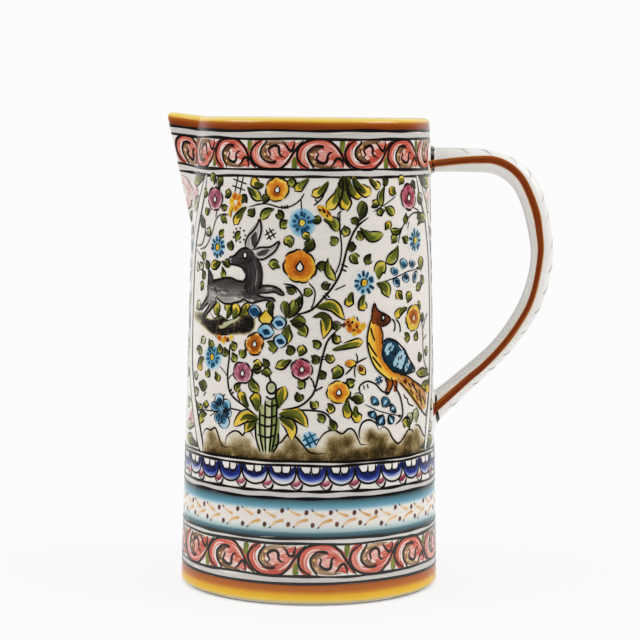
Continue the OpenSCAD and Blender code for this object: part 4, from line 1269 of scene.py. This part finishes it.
# The bird, drawn the same way
bird = {
    "washes": [
        ("tailBrown", "under", [(41.4, 103.8), (46, 101.4), (52, 98), (59.6, 92.8), (67.6, 86.4)],
         [3.4, 4.4, 6.8, 9.4, 9]),
        ("orangeDeep", "under", [(37.6, 103.4), (39, 100.2), (37.2, 96.4)], [3, 2.6, 1.4]),
        ("orangeDeep", "under", [(41.4, 102), (42.2, 99), (41.6, 96)], [2.2, 1.5, 0.9]),
        ("birdNeck", "wash",
         [(31, 130.4), (31, 126), (31, 120), (31.9, 113.6), (34.9, 108.3), (39.2, 104.4), (44, 102.5)],
         [4.6, 6.8, 8.4, 7.4, 6.3, 5.2, 3.4]),
        ("birdHead", "fill", [(30.7, 136.4), (31.3, 131.6), (32, 127.4)], [1, 5.2, 5.4]),
        ("birdHead", "fill", [(31.6, 130.2), (35.6, 129.5), (39.6, 129.5)], [7, 6, 1]),
        ("wingDark", "fill", [(34.9, 118), (39.4, 114.6), (46, 110.2), (52, 106.7), (56, 105.3)],
         [6.4, 12.4, 12, 5.8, 0.6]),
        ("wingDark", "wash", [(35.6, 118.2), (38.4, 118.9), (42.4, 117.4), (46.4, 114.4)],
         [2.4, 3.2, 3.4, 2.6]),
    ],
    "shades": [
        ("wingPale", [(40, 118.8), (38.4, 116), (37.2, 113)], [1.1, 2.4, 1.5]),
        ("wingPale", [(38.4, 118.8), (37, 116.4), (36.4, 114.4)], [0.7, 1.5, 0.8]),
        ("wingPale", [(41.4, 117.6), (39.8, 114.8)], [1.3, 0.8]),
        ("wingPale", [(47.8, 114.8), (45.2, 110.8), (43.2, 107.2)], [2, 3.2, 2.6]),
        ("wingPale", [(46, 114.6), (43.4, 111), (41.4, 107.8)], [1.3, 2.8, 2.2]),
        ("wingPale", [(49.2, 113), (46.8, 109.4), (45, 106)], [1.3, 2.7, 2]),
        ("wingPale", [(52, 108.8), (50.2, 106.6), (49, 104.8)], [0.9, 1.6, 1.1]),
        ("wingPale", [(50.4, 108.4), (48.6, 106)], [1, 0.8]),
        ("white", [(44.4, 117.4), (47.2, 115)], [0.5, 0.8]),
        ("white", [(51, 110.2), (52.6, 108.2)], [0.5, 0.6]),
        ("birdHead", [(48.4, 101.4), (50.4, 99.6)], [1.8, 1]),
        ("birdHead", [(53.6, 99.6), (56.4, 96.6)], [2, 1]),
        ("birdHead", [(60, 95.8), (61.4, 91)], [1.1, 1.4]),
        ("birdHead", [(57.4, 93), (59, 90.4)], [1.4, 0.8]),
        ("yellow", [(50, 97.2), (54, 94), (58, 90.4)], [0.6, 1.2, 0.6]),
        ("yellow", [(62.4, 90.6), (66, 86.4)], [1.4, 1]),
    ],
    "lines": [
        [(29.2, 131), (27.6, 126), (26.7, 120), (28, 113.4), (31.2, 107.6), (36.2, 103.2), (40, 101)],
        [(33.4, 126.8), (35, 122.8), (34.7, 117.8)],
        [(34.8, 117.4), (35.4, 119.6), (38.2, 120.5), (42.6, 119.2), (47, 115.9), (50.8, 111.2),
         (56.6, 105.3), (53, 103.9), (49.4, 103.6), (45, 104.5), (41.3, 105.3), (38, 108.3), (35.6, 112.6),
         (34.7, 116.4)],
        [(44.4, 104), (50, 102.7), (55, 100.2), (61.3, 97), (67.6, 93.2)],
        [(45, 100.2), (47, 98.8), (51.4, 95), (57.6, 89.5), (63, 85.2), (67, 82.9), (69.4, 86.6)],
        [(29.3, 130.6), (29.4, 134), (30.7, 137), (31.6, 134.8), (33.4, 133.2), (36.4, 132), (39.9, 129.6),
         (38, 127.4), (35.2, 126.5), (33.4, 126.8)],
        [(28.4, 126.4), (29.4, 123), (30.8, 119.8)], [(27.2, 119.8), (29.4, 116), (32, 112.6)],
        [(29.2, 113), (31.6, 110.4), (34.2, 107.6)], [(39.4, 117), (38.4, 115.2)],
        [(46.8, 112.6), (45.6, 110.6)], [(45, 112), (44, 110.2)], [(44.2, 109.4), (43, 107.6)],
        [(50.6, 107.4), (49.8, 106)], [(54, 98.6), (57.4, 95)], [(59, 93.6), (62.6, 89.6)],
        [(52, 96.4), (55, 93.4)], [(62.6, 92.6), (66.4, 88.6)], [(47.6, 101), (49.6, 99)],
        [(51, 99.4), (53.4, 97)], [(56.4, 96.4), (58.4, 93.6)], [(60.4, 91.6), (63, 87.4)],
        [(64, 91.4), (66.8, 87.4)], [(39.4, 103), (40.6, 99.8), (38.2, 95.6), (36, 95.8)],
        [(36.2, 103), (37.4, 99.4), (36.2, 96)], [(42.8, 101.4), (43.2, 98.6), (42.4, 95.8)],
        [(41, 100), (45, 94), (47, 87.6), (46.2, 83.6), (42, 80.8)],
    ],
    "lineWidth": 0.85,
    "eye": (35.2, 130.2, 1.5, 0.45),
}

# Foot of the panel: a brown wash with lumps, and mounds drawn over it
gardenFoot = {
    "left": -59, "right": 68, "low": 66, "high": 83, "grid": (150, 24),
    "bandTop": 73, "bandDepth": 1.1, "bandFade": 1.2, "squat": 0.8,
    "lumps": [  # middle, half size and strength
        (-50, 73, 4.6, 0.5), (-44, 71, 3, 0.35), (-30, 72.6, 4.2, 0.5), (-36, 71.4, 3, 0.35),
        (-7.5, 73, 4.6, 0.5), (-1, 71, 3, 0.4), (11, 73, 4, 0.6), (17, 74.4, 3.6, 0.5), (28, 76.5, 3, 0.6),
        (33, 74, 5, 0.65), (14, 69, 4, 0.3), (22, 69.5, 4, 0.4), (30, 70, 4.4, 0.4), (37, 69, 3.6, 0.25),
        (41, 71, 3, 0.6), (50, 72.6, 4, 0.45), (56, 73.5, 4.8, 0.5), (64, 71, 3.4, 0.4), (-51, 75, 4.4, 0.2),
        (-35, 75, 5, 0.22), (-8, 75, 5, 0.22), (11, 76, 7, 0.24), (19, 76.6, 4.4, 0.2), (28, 79.6, 4, 0.24),
        (36, 76, 4, 0.2), (51, 74.6, 4, 0.18), (59, 75.6, 4.6, 0.22)],
    "mounds": [
        [(-58, 72.6), (-55.6, 76.4), (-53, 77.2), (-51, 76.8), (-48, 78.4), (-46, 76), (-44, 72),
         (-41.4, 70.2), (-37, 70.8)],
        [(-41, 71), (-40, 75.4), (-36, 78.2), (-33, 77.8), (-31.4, 76.6), (-29.4, 79), (-27.4, 78.6),
         (-25, 75)],
        [(-18.6, 69), (-15.4, 73), (-12.4, 74.8), (-9.6, 78), (-6.6, 77.6), (-3, 74), (0, 70.4), (4, 69.6),
         (8, 70)],
        [(2.6, 71.6), (4, 75.4), (7, 79), (11, 80.2), (14.6, 78.6), (17.4, 80.6), (20, 80), (22, 76),
         (23.6, 73.2), (27, 73.2)],
        [(23.2, 75.6), (22.6, 78.6), (24.2, 83), (27.6, 84.4), (31, 82.4), (33, 79)],
        [(33, 79.2), (35, 80.6), (38, 79), (40.6, 74.6), (44, 72.2), (48, 75), (51, 77.8), (54, 77),
         (55.4, 75.4)],
        [(55.6, 79.4), (60, 78.4), (64, 74), (67, 72.2)],
    ],
    "moundLine": 0.95,
}
ledge = {
    "left": -73, "right": -23, "low": 117, "high": 133, "grid": (84, 28), "crisp": 1.5, "bare": 0.2,
    "dark": [  # middle, half sizes and strength
        (-30.8, 128, 3.7, 3.9, 2.2), (-34.6, 127.6, 3.4, 3.2, 1.4), (-38.4, 125.2, 4.2, 2.5, 1.6),
        (-45, 125.6, 4.8, 3, 1.6), (-51.4, 124.8, 4.6, 2.5, 1.3), (-57.6, 126.4, 4.8, 2.7, 0.75),
        (-65, 127.8, 5, 2.8, 0.5), (-71.6, 128.4, 4, 2.6, 0.35), (-60, 130, 6, 1.4, 0.2),
        (-47.6, 122.4, 4.4, 1.7, 0.9)],
    "lifted": [  # where the wash is wiped off again
        (-45.6, 125, 1.9, 0.8, 0.9), (-42.6, 126.6, 2, 0.9, 1), (-39.4, 128.2, 2.1, 1, 1),
        (-36.4, 129.8, 2.1, 1.1, 1), (-54, 128.4, 2.6, 0.9, 0.5), (-62, 126.4, 2.4, 0.8, 0.25)],
    "lines": [[(-54, 131), (-50.4, 128.4), (-46, 129.8), (-42, 128.2), (-37, 129.2)],
              [(-28, 131.6), (-26.9, 128.6), (-27.6, 125.4), (-29.8, 123.8), (-32.4, 124.8)],
              [(-38.6, 122.6), (-41, 121.6), (-45, 121.4), (-47.4, 119.6), (-50, 121)]],
    "lineWidth": 0.7,
    "gleam": ([(-46.4, 124.2), (-43, 125.6), (-39.6, 127.4), (-36.4, 129.2), (-33.6, 131.4)],
              [0.8, 1.8, 1.5, 2, 1.2]),
}

# A leaf fan on a knobbed shaft: its strips close up towards the foot
palm = {
    "foot": (-19, 69.4),
    "tops": [(-25, 84), (-22.8, 89.5), (-20.3, 94), (-17, 94.5), (-14.7, 96.4), (-13.8, 79)],
    "strips": [(-23.8, 86.4, 2.2, "leafPale"), (-21.5, 91.6, 2.4, "trunk"), (-18.6, 94, 3.2, "leafPale"),
               (-15.8, 95, 2.4, "trunk"), (-14.2, 86, 1.8, "trunk")],
    "arcs": [(-20.2, 94.5, -14.8), (-20.4, 91, -14.6), (-22.6, 86, -14.4), (-24, 82, -14.4),
             (-24, 77, -14.8)],
    "rings": [(-17.4, 98.9, 2.7)],
    "shaft": [(-17.5, 101.6), (-18, 102.8), (-18.7, 103.8), (-19.4, 105)],
    "bend": (0.92, 0.45), "gather": 0.5,  # how the strips bow out, and close up at the foot
    "stripWidths": (1, 1.1, 0.6), "arcBend": (0.6, -0.6, 0.7), "ringTall": 1.2, "lineWidth": 0.95,
}
borders = {  # the white line down each side of the panel
    "dark": 6.2, "white": 3.9,
    "lines": [
        [(-60, 194.2), (-64.8, 183), (-69.4, 172.4), (-73, 162), (-75, 148), (-75.4, 125), (-74, 105),
         (-68.4, 89), (-64, 79.8), (-59.4, 69.6), (-57.6, 66)],
        [(60.6, 194.2), (66.4, 184), (71.6, 175), (75.6, 163), (78, 148), (78.6, 125), (77.4, 107),
         (74.4, 92), (70.4, 80), (65.6, 66)],
    ],
}
panelLift = {"Ground": 0, "Stems": 0.02, "Leaves": 0.06, "Flowers": 0.12, "Hind": 0.18, "Bird": 0.18}


def paintCloud(sheet, paint, patch, depth):
    left, right, low, high = (patch[key] for key in ("left", "right", "low", "high"))
    sharp, topSharp = cloudWash["sideFade"], cloudWash["topFade"]
    lift = liftOf(sheet, "under")

    def spot(u, v):
        return left + (right - left) * u, low + (high - low) * v

    layGrid(sheet, paint, *patch["grid"], lambda u, v: onSheet(sheet, spot(u, v), lift),
            lambda u, v: depth(*spot(u, v)) * min(1, sharp * u, sharp - sharp * u, topSharp - topSharp * v))


def soilDepth(a, z):
    low, top = gardenFoot["low"], gardenFoot["bandTop"]
    total = gardenFoot["bandDepth"] * max(0, min(1, (top - z) / (top - low))) ** gardenFoot["bandFade"]
    for lumpA, lumpZ, size, strength in gardenFoot["lumps"]:
        tall = (z - lumpZ) / size / gardenFoot["squat"]
        total += strength * exp(-(((a - lumpA) / size) ** 2 + tall ** 2))
    return min(1, total)


def ledgeDepth(a, z):
    depth = []
    for key in ("dark", "lifted"):
        depth.append(sum(strength * exp(-(((a - darkA) / wide) ** 2 + ((z - darkZ) / tall) ** 2))
                         for darkA, darkZ, wide, tall, strength in ledge[key]))
    return max(0, min(1, ledge["crisp"] * depth[0] - ledge["bare"]) - depth[1])


def paintPalm(sheet):
    foot = Vector(palm["foot"])
    wide, high = palm["bend"]

    def blade(a, z):
        middle = Vector((foot.x + (a - foot.x) * wide, foot.y + (z - foot.y) * high))
        return [Vector((a, z)), middle, Vector((foot.x + (a - foot.x) * palm["gather"], foot.y))]

    for a, z, width, paint in palm["strips"]:
        stroke(sheet, paint, "fill", blade(a, z), [width * share for share in palm["stripWidths"]])
    for a, z in palm["tops"]:
        penLine(sheet, blade(a, z), palm["lineWidth"])
    for start, z, end in palm["arcs"]:
        arc = zip((start, (start + end) / 2, end), palm["arcBend"])
        penLine(sheet, [(a, z + up) for a, up in arc], palm["lineWidth"])
    for a, z, radius in palm["rings"]:
        disc(sheet, "line", "fill", (a, z), radius, tall=palm["ringTall"])
        inner = radius - palm["lineWidth"]
        disc(sheet, "leafPale", "shade", (a, z + 0.1), inner, tall=palm["ringTall"])
    penLine(sheet, palm["shaft"], palm["lineWidth"])


def paintFigure(sheet, figure):
    for paint, layer, points, widths in figure["washes"]:
        stroke(sheet, paint, layer, points, widths)
    for paint, points, widths in figure["shades"]:
        stroke(sheet, paint, "shade", points, widths)
    for points in figure["lines"]:
        penLine(sheet, points, figure["lineWidth"])
    a, z, dark, light = figure["eye"]
    disc(sheet, "line", "detail", (a, z), dark, tall=1.3)
    disc(sheet, "white", "top", (a + 0.1, z + 0.1), light, tall=1.4)


def paintPanel(name, centre, flip):
    def sheetFor(part):
        return newSheet(name + part, panelLift[part], centre, flip)

    foot = sheetFor("Ground")
    paintCloud(foot, "soil", gardenFoot, soilDepth)
    paintCloud(foot, "rock", ledge, ledgeDepth)
    stroke(foot, "leafPale", "fill", *ledge["gleam"])
    for points in ledge["lines"]:
        penLine(foot, points, ledge["lineWidth"], "swell")
    for points in gardenFoot["mounds"]:
        penLine(foot, points, gardenFoot["moundLine"], "swell")
    for points in borders["lines"]:
        stroke(foot, "line", "shade", points, borders["dark"])
        stroke(foot, "white", "top", points, borders["white"])
    finishSheet(foot)

    stems = sheetFor("Stems")
    disc(stems, "skyWash", "under", *stemwork["markWash"])
    for kind, a, z, radius in blossoms["flowers"]:
        if kind == "daisy":
            daisyWash(stems, a, z, radius)
    for points, width in stemwork["stems"]:
        paint = "greyLine" if abs(points[0][0]) > stemwork["greyFrom"] else "line"
        stroke(stems, paint, "detail", points, width * brush["stem"])
    for a, z, size, degrees, paint in stemwork["marks"]:
        level = Vector((cos(radians(degrees)), sin(radians(degrees)))) * size
        upright = Vector((-level.y, level.x))
        for slide in stemwork["markApart"]:
            for along, aside in ((level, upright), (upright, level)):
                middle = Vector((a, z)) + aside * slide
                ends = [middle - along, middle + along]
                stroke(stems, paint, "detail", ends, stemwork["markWidth"][paint])
    paintPalm(stems)
    finishSheet(stems)

    leaves = sheetFor("Leaves")
    for baseA, baseZ, tipA, tipZ, width, *kind in foliage["leaves"]:
        bow = leaves["hand"].uniform(-brush["bow"], brush["bow"])
        middle = ((baseA + tipA) / 2 - bow * (tipZ - baseZ), (baseZ + tipZ) / 2 + bow * (tipA - baseA))
        leaf(leaves, [(baseA, baseZ), middle, (tipA, tipZ)], width, *kind)
    for points, width in foliage["fronds"]:
        leaf(leaves, points, width, "y", "leaf" if len(points) == 3 else "drop")
    finishSheet(leaves)

    flowers = sheetFor("Flowers")
    for kind, a, z, radius in blossoms["flowers"]:
        flower(flowers, kind, a, z, radius)
    for paint, points, width, shape, heart in blossoms["berries"]:
        berry(flowers, paint, points, width, shape, heart)
    for paint, a, z, radius in blossoms["dabs"]:
        disc(flowers, paint, "shade", (a, z), radius, 3, 0.16, turn=flowers["hand"].uniform(0, 3))
    for paint, points, width in blossoms["smears"]:
        stroke(flowers, paint, "shade", points, width, "leaf")
    for body, heart, share, key in (
            ("paleBlue", "petalBlue", 0.74, "petals"), ("petalBlue", "paleBlue", 0.32, "deepPetals")):
        for baseA, baseZ, tipA, tipZ, width in blossoms[key]:
            ends = [Vector((baseA, baseZ)), Vector((tipA, tipZ))]
            width *= blossoms["petalGrow"]
            stroke(flowers, body, "fill", ends, width, "drop")
            inner = [ends[0].lerp(ends[1], 0.16), ends[0].lerp(ends[1], flowers["hand"].uniform(0.72, 0.9))]
            stroke(flowers, heart, "shade", inner, width * share, "drop")
            for side in (-1, 1):
                edgeLine(flowers, ends, width, "drop", side, 0.05, 1, 0.7)
    for baseA, baseZ, tipA, tipZ, width, paint in blossoms["buds"]:
        ends = [Vector((baseA, baseZ)), Vector((tipA, tipZ))]
        outlined(flowers, "yellow", ends, width)
        stroke(flowers, paint, "shade", [ends[0], ends[0].lerp(ends[1], 0.7)], width * 0.8, "drop")
    seeds = blossoms["seeds"]
    (a, z), (wide, tall) = seeds["middle"], seeds["ring"]
    for seed in range(seeds["count"]):
        angle = seed * seeds["turn"]
        disc(flowers, "line", "fill", (a + wide * cos(angle), z + tall * sin(angle)), seeds["radius"])
    finishSheet(flowers)

    for figureName, figure in (("Hind", hind), ("Bird", bird)):
        sheet = sheetFor(figureName)
        paintFigure(sheet, figure)
        finishSheet(sheet)


paintPanel("front", 0, 1)
paintPanel("back", wholeRound / 2, -1)

# Handle: a brown line along each side, dashes over the back, and a dark line over both joints
stripes = {
    "stripe": [3.5, 3.5, 4, 3.6, 3.8, 3.4, 3.3, 3.6, 4, 4.1, 4, 4], "stripeEnd": 0.4,
    # mm from the middle of the side, - is inwards
    "stripePlace": [-2, -0.5, 0.4, 1.3, 0.7, -0.7, -1, -0.8, -1.5, -2.1, -1.9, -1.5, -1.5, -1.2, -1.2, -0.8,
                    -1, -0.8, -0.8],
    "dashes": 15, "dashFrom": 12, "dashTo": 172, "dashSlant": 5, "dashWidth": 0.9, "paleTo": 84,
    "dashPlace": (5.4, 7.6, 10.4),  # mm from the middle of the back, round the corner
    "joints": (1.7, 2.4), "jointLine": 1.4,  # mm from the upper and the lower end, and width
    "jointSide": (-5.2, -2, 2, 5.2), "jointBack": 12,
    "steps": 24,
}


def onStrapSide(side):
    corner = strap["corner"]

    def surface(spot, lift):
        over = max(0, abs(spot[1]) - strap["thick"] / 2 + corner)
        face = strap["wide"] / 2 - corner + sqrt(corner ** 2 - over ** 2)
        return strapPoint(spot[0], -side * spot[1], side * (face + lift))

    return surface


def onStrapBack(spot, lift):
    # spot is mm along the strap and mm from the middle of its back, round a corner
    corner = strap["corner"]
    flat = strap["wide"] / 2 - corner
    angle = max(0, abs(spot[1]) - flat) / corner
    reach = min(abs(spot[1]), flat) + (corner + lift) * sin(angle)
    up = strap["thick"] / 2 - corner + (corner + lift) * cos(angle)
    return strapPoint(spot[0], up, reach if spot[1] > 0 else -reach)


def paintHandle():
    start, end = stripes["stripeEnd"], strapLength - stripes["stripeEnd"]
    joints = stripes["joints"][0], strapLength - stripes["joints"][1]
    steps = stripes["steps"]
    for name, side in (("frontStripe", -1), ("backStripe", 1)):
        sheet = newSheet(name, surface=onStrapSide(side))
        line = [(start + (end - start) * k / steps, -side * widthAt(stripes["stripePlace"], k / steps))
                for k in range(steps + 1)]
        stroke(sheet, "handleBrown", "detail", line, stripes["stripe"], "flat")
        for at in joints:
            across = [(at, place) for place in stripes["jointSide"]]
            stroke(sheet, "line", "top", across, stripes["jointLine"], "flat")
        finishSheet(sheet)
    sheet = newSheet("handleDashes", surface=onStrapBack)
    hand = sheet["hand"]
    gap = (stripes["dashTo"] - stripes["dashFrom"]) / stripes["dashes"]
    reach = stripes["jointBack"]
    for index in range(stripes["dashes"]):
        for side in (-1, 1):
            at = stripes["dashFrom"] + gap * (index + hand.uniform(-0.15, 0.15))
            slant = stripes["dashSlant"] / 2
            ends = [(at + slant * k, place * side) for k, place in enumerate(stripes["dashPlace"])]
            paint = "tickPale" if at < stripes["paleTo"] else "tick"
            stroke(sheet, paint, "fill", ends, stripes["dashWidth"] * hand.uniform(0.6, 1.2), "leaf")
    for at in joints:
        across = [(at, reach - 2 * k) for k in range(reach + 1)]
        stroke(sheet, "line", "fill", across, stripes["jointLine"], "flat")
    finishSheet(sheet)


# Between the two panels, under the lip and at the handle: pale flowers and leaves
spandrel = {
    "stem": [(0, 177), (1.6, 166), (-1.2, 154), (0.8, 142), (-0.6, 128), (0.8, 114), (0, 98)],
    "flowers": [("palePink", 0, 184, 7.5), ("mauve", 0, 134, 4.4), ("palePink", 0, 104, 4.6)],
    "daisies": [(10.6, 125, 4), (9.6, 160, 3.6)],
    "leaves": [  # corners, pairs on the stem and edges: base, tip, width and kind
        (29.4, 192.4, 13, 189.6, 4.8), (22.4, 184, 14.6, 176.4, 3.8, "p"), (30.6, 67.8, 13, 70, 4.2),
        (25.4, 77, 13, 75.6, 3.8, "p"), (19, 88, 11.6, 84.6, 3.4, "p"), (0.8, 171, 8, 175.4, 3.2),
        (0.6, 164, 7.6, 167.6, 3, "d"), (0.4, 153, 8.4, 150.4, 3.2), (0.4, 147, 7.4, 143, 3, "p"),
        (0.6, 127.6, 6.6, 131.4, 2.8, "d"), (0.4, 118, 7.4, 114.4, 3), (0.4, 111.4, 6.8, 108, 2.8, "p"),
        (13.4, 170, 11, 165, 2.8, "p"), (13.4, 152, 11.4, 146.6, 2.8, "p"), (13, 138, 10.4, 132.6, 2.6),
        (13, 116, 10.2, 111.6, 2.8, "p"), (14.4, 103, 10.6, 98.4, 2.8),
    ],
    "twigs": [[(0.6, 160), (5, 161.4), (9, 160)], [(0, 127), (5, 124.4), (10, 125)],
              [(15, 146), (13.4, 142), (13.6, 138)]],
    "petals": [(16, 183.6, 5), (20, 80, 4.4)],
    "stemWidth": 0.9, "twigWidth": 0.7, "foldWidth": 0.8, "bow": (0.4, 1),
}


def paintSpandrel(name, centre):
    sheet = newSheet(name, 0, centre)
    stroke(sheet, "greyLine", "wash", spandrel["stem"], spandrel["stemWidth"])
    for side in (-1, 1):
        for points in spandrel["twigs"]:
            stroke(sheet, "greyLine", "wash", [(a * side, z) for a, z in points], spandrel["twigWidth"])
        for baseA, baseZ, tipA, tipZ, width, *kind in spandrel["leaves"]:
            bow = sheet["hand"].uniform(*spandrel["bow"])
            middle = ((baseA + tipA) / 2 * side, (baseZ + tipZ) / 2 + bow)
            leaf(sheet, [(baseA * side, baseZ), middle, (tipA * side, tipZ)], width, *kind)
        for a, z, radius in spandrel["petals"]:
            disc(sheet, "palePink", "fill", (a * side, z), radius, 4, 0.16)
            fold = [((a + radius) * side, z + 2), ((a + 1) * side, z + radius - 0.6)]
            stroke(sheet, "greyLine", "detail", fold, spandrel["foldWidth"])
        for a, z, radius in spandrel["daisies"]:
            daisyWash(sheet, a * side, z, radius)
            flower(sheet, "daisy", a * side, z, radius)
    for paint, a, z, radius in spandrel["flowers"]:
        disc(sheet, "greyLine", "under", (a, z), radius, 5, 0.2, grow=0.4)
        disc(sheet, paint, "fill", (a, z), radius, 5, 0.2)
        disc(sheet, "white", "shade", (a, z), radius * 0.5, 5, 0.2)
        heart = [(a - radius * 0.2, z - 1), (a + 0.4, z + radius * 0.3)]
        stroke(sheet, "mauve", "detail", heart, radius * 0.22, "leaf")
    finishSheet(sheet)


paintHandle()
paintSpandrel("lipSpandrel", lipAround)
paintSpandrel("handleSpandrel", handleAround)

# Camera, floor and light
viewpoint = {"place": (4.4, -1034, 226.6), "drop": 216.6 / 2190, "roll": 0.0078, "focal": 2190, "frame": 640,
             "sensor": 36}
camera = newObject("camera", bpy.data.cameras.new("camera"))
camera.data.sensor_width = viewpoint["sensor"]
camera.data.lens = viewpoint["sensor"] * viewpoint["focal"] / viewpoint["frame"]
camera.location = Vector(viewpoint["place"]) * mm
tilt = Matrix.Rotation(pi / 2 - atan(viewpoint["drop"]), 3, "X") @ Matrix.Rotation(viewpoint["roll"], 3, "Z")
camera.rotation_euler = tilt.to_euler()
bpy.context.scene.camera = camera

studio = {
    "floorSize": 0.3, "floorFade": (0.1, 0.28), "floorGlow": 0.85, "floorDrop": 0.05,
    "floorColour": "#f8f8f8", "floorRough": 0.6, "floorSides": 96, "white": "#fcfcfc",
    "shaded": (0.0575, 0.062),  # under the foot the floor has no glow
    "opened": 0.0562,  # and inside this radius it is clear
    "worldLight": 0.66, "mirrored": (0.1, 0.5),  # strength of the surroundings in the glaze, front and back
    "mirrorSpan": (0.1, 0.8),  # from the front one to the back one, by the direction's Y
    "lamps": [  # place, watts, width and height in metres
        ("keyLamp", (-1.3, -0.3, 1.1), 10, 1, 1),
        ("fillLamp", (1.3, -0.3, 1.1), 11, 1, 1),
        ("leftSoftbox", (-0.75, 1.05, 0.5), 2, 1.1, 1.5),
        ("rightSoftbox", (0.75, 1.05, 0.5), 1.5, 1.1, 1.5),
    ],
}


def paleFloor():
    bm = bmesh.new()
    bmesh.ops.create_circle(bm, cap_ends=True, segments=studio["floorSides"], radius=studio["floorSize"])
    bmesh.ops.translate(bm, verts=bm.verts, vec=(0, 0, -studio["floorDrop"] * mm))
    floor = meshObject("floor", bm)
    material, tree, shader = newMaterial("paleFloor")
    shader.inputs["Base Color"].default_value = colour(studio["floorColour"])
    shader.inputs["Roughness"].default_value = studio["floorRough"]
    far = put(tree, "ShaderNodeVectorMath", {0: objectPlace(tree)}, operation="LENGTH").outputs["Value"]
    fade = mapRange(tree, far, studio["floorFade"], studio["floorGlow"], 1, "SMOOTHSTEP")
    clearOfFoot = mapRange(tree, far, studio["shaded"])
    path = tree.nodes.new("ShaderNodeLightPath").outputs
    direct = maths(tree, "MAXIMUM", path["Is Camera Ray"], path["Is Transmission Ray"])
    shining = maths(tree, "MULTIPLY", fade, clearOfFoot)
    glow = maths(tree, "MULTIPLY", shining, direct)
    white = put(tree, "ShaderNodeEmission", {"Color": colour(studio["white"]), "Strength": 1})
    both = mixShader(tree, glow, shader.outputs[0], white.outputs[0])
    # The floor is clear seen from below and inside the foot, so that the underside shows
    below = tree.nodes.new("ShaderNodeNewGeometry").outputs["Backfacing"]
    opened = maths(tree, "LESS_THAN", far, studio["opened"])
    seeThrough = maths(tree, "MAXIMUM", below, opened)
    clear = tree.nodes.new("ShaderNodeBsdfTransparent")
    sided = mixShader(tree, seeThrough, both, clear.outputs[0])
    tree.links.new(sided, tree.nodes["Material Output"].inputs["Surface"])
    floor.data.materials.append(material)


def studioLight():
    world = bpy.data.worlds.new("studio")
    bpy.context.scene.world = world
    world.use_nodes = True
    tree = world.node_tree
    tree.nodes.clear()
    path = tree.nodes.new("ShaderNodeLightPath").outputs
    around = tree.nodes.new("ShaderNodeTexCoord").outputs["Generated"]
    direction = put(tree, "ShaderNodeSeparateXYZ", {0: around})
    sides = mapRange(
        tree, direction.outputs["Y"], studio["mirrorSpan"], *studio["mirrored"], "SMOOTHSTEP")
    soft = put(tree, "ShaderNodeBackground", {"Color": (1, 1, 1, 1), "Strength": studio["worldLight"]})
    mirrored = put(tree, "ShaderNodeBackground", {"Color": (1, 1, 1, 1), "Strength": sides})
    seen = put(tree, "ShaderNodeBackground", {"Color": colour(studio["white"]), "Strength": 1})
    glossy = mixShader(tree, path["Is Glossy Ray"], soft.outputs[0], mirrored.outputs[0])
    direct = maths(tree, "MAXIMUM", path["Is Camera Ray"], path["Is Transmission Ray"])
    shown = mixShader(tree, direct, glossy, seen.outputs[0])
    put(tree, "ShaderNodeOutputWorld", {"Surface": shown})
    middle = Vector((0, 0, jug["height"] / 2)) * mm
    for name, place, watts, wide, tall in studio["lamps"]:
        lamp = bpy.data.lights.new(name, "AREA")
        lamp.shape = "RECTANGLE"
        lamp.size, lamp.size_y, lamp.energy = wide, tall, watts
        holder = newObject(name, lamp)
        holder.location = place
        holder.rotation_euler = (middle - Vector(place)).to_track_quat("-Z", "Y").to_euler()


paleFloor()
studioLight()
bpy.context.scene.view_settings.view_transform = "Standard"
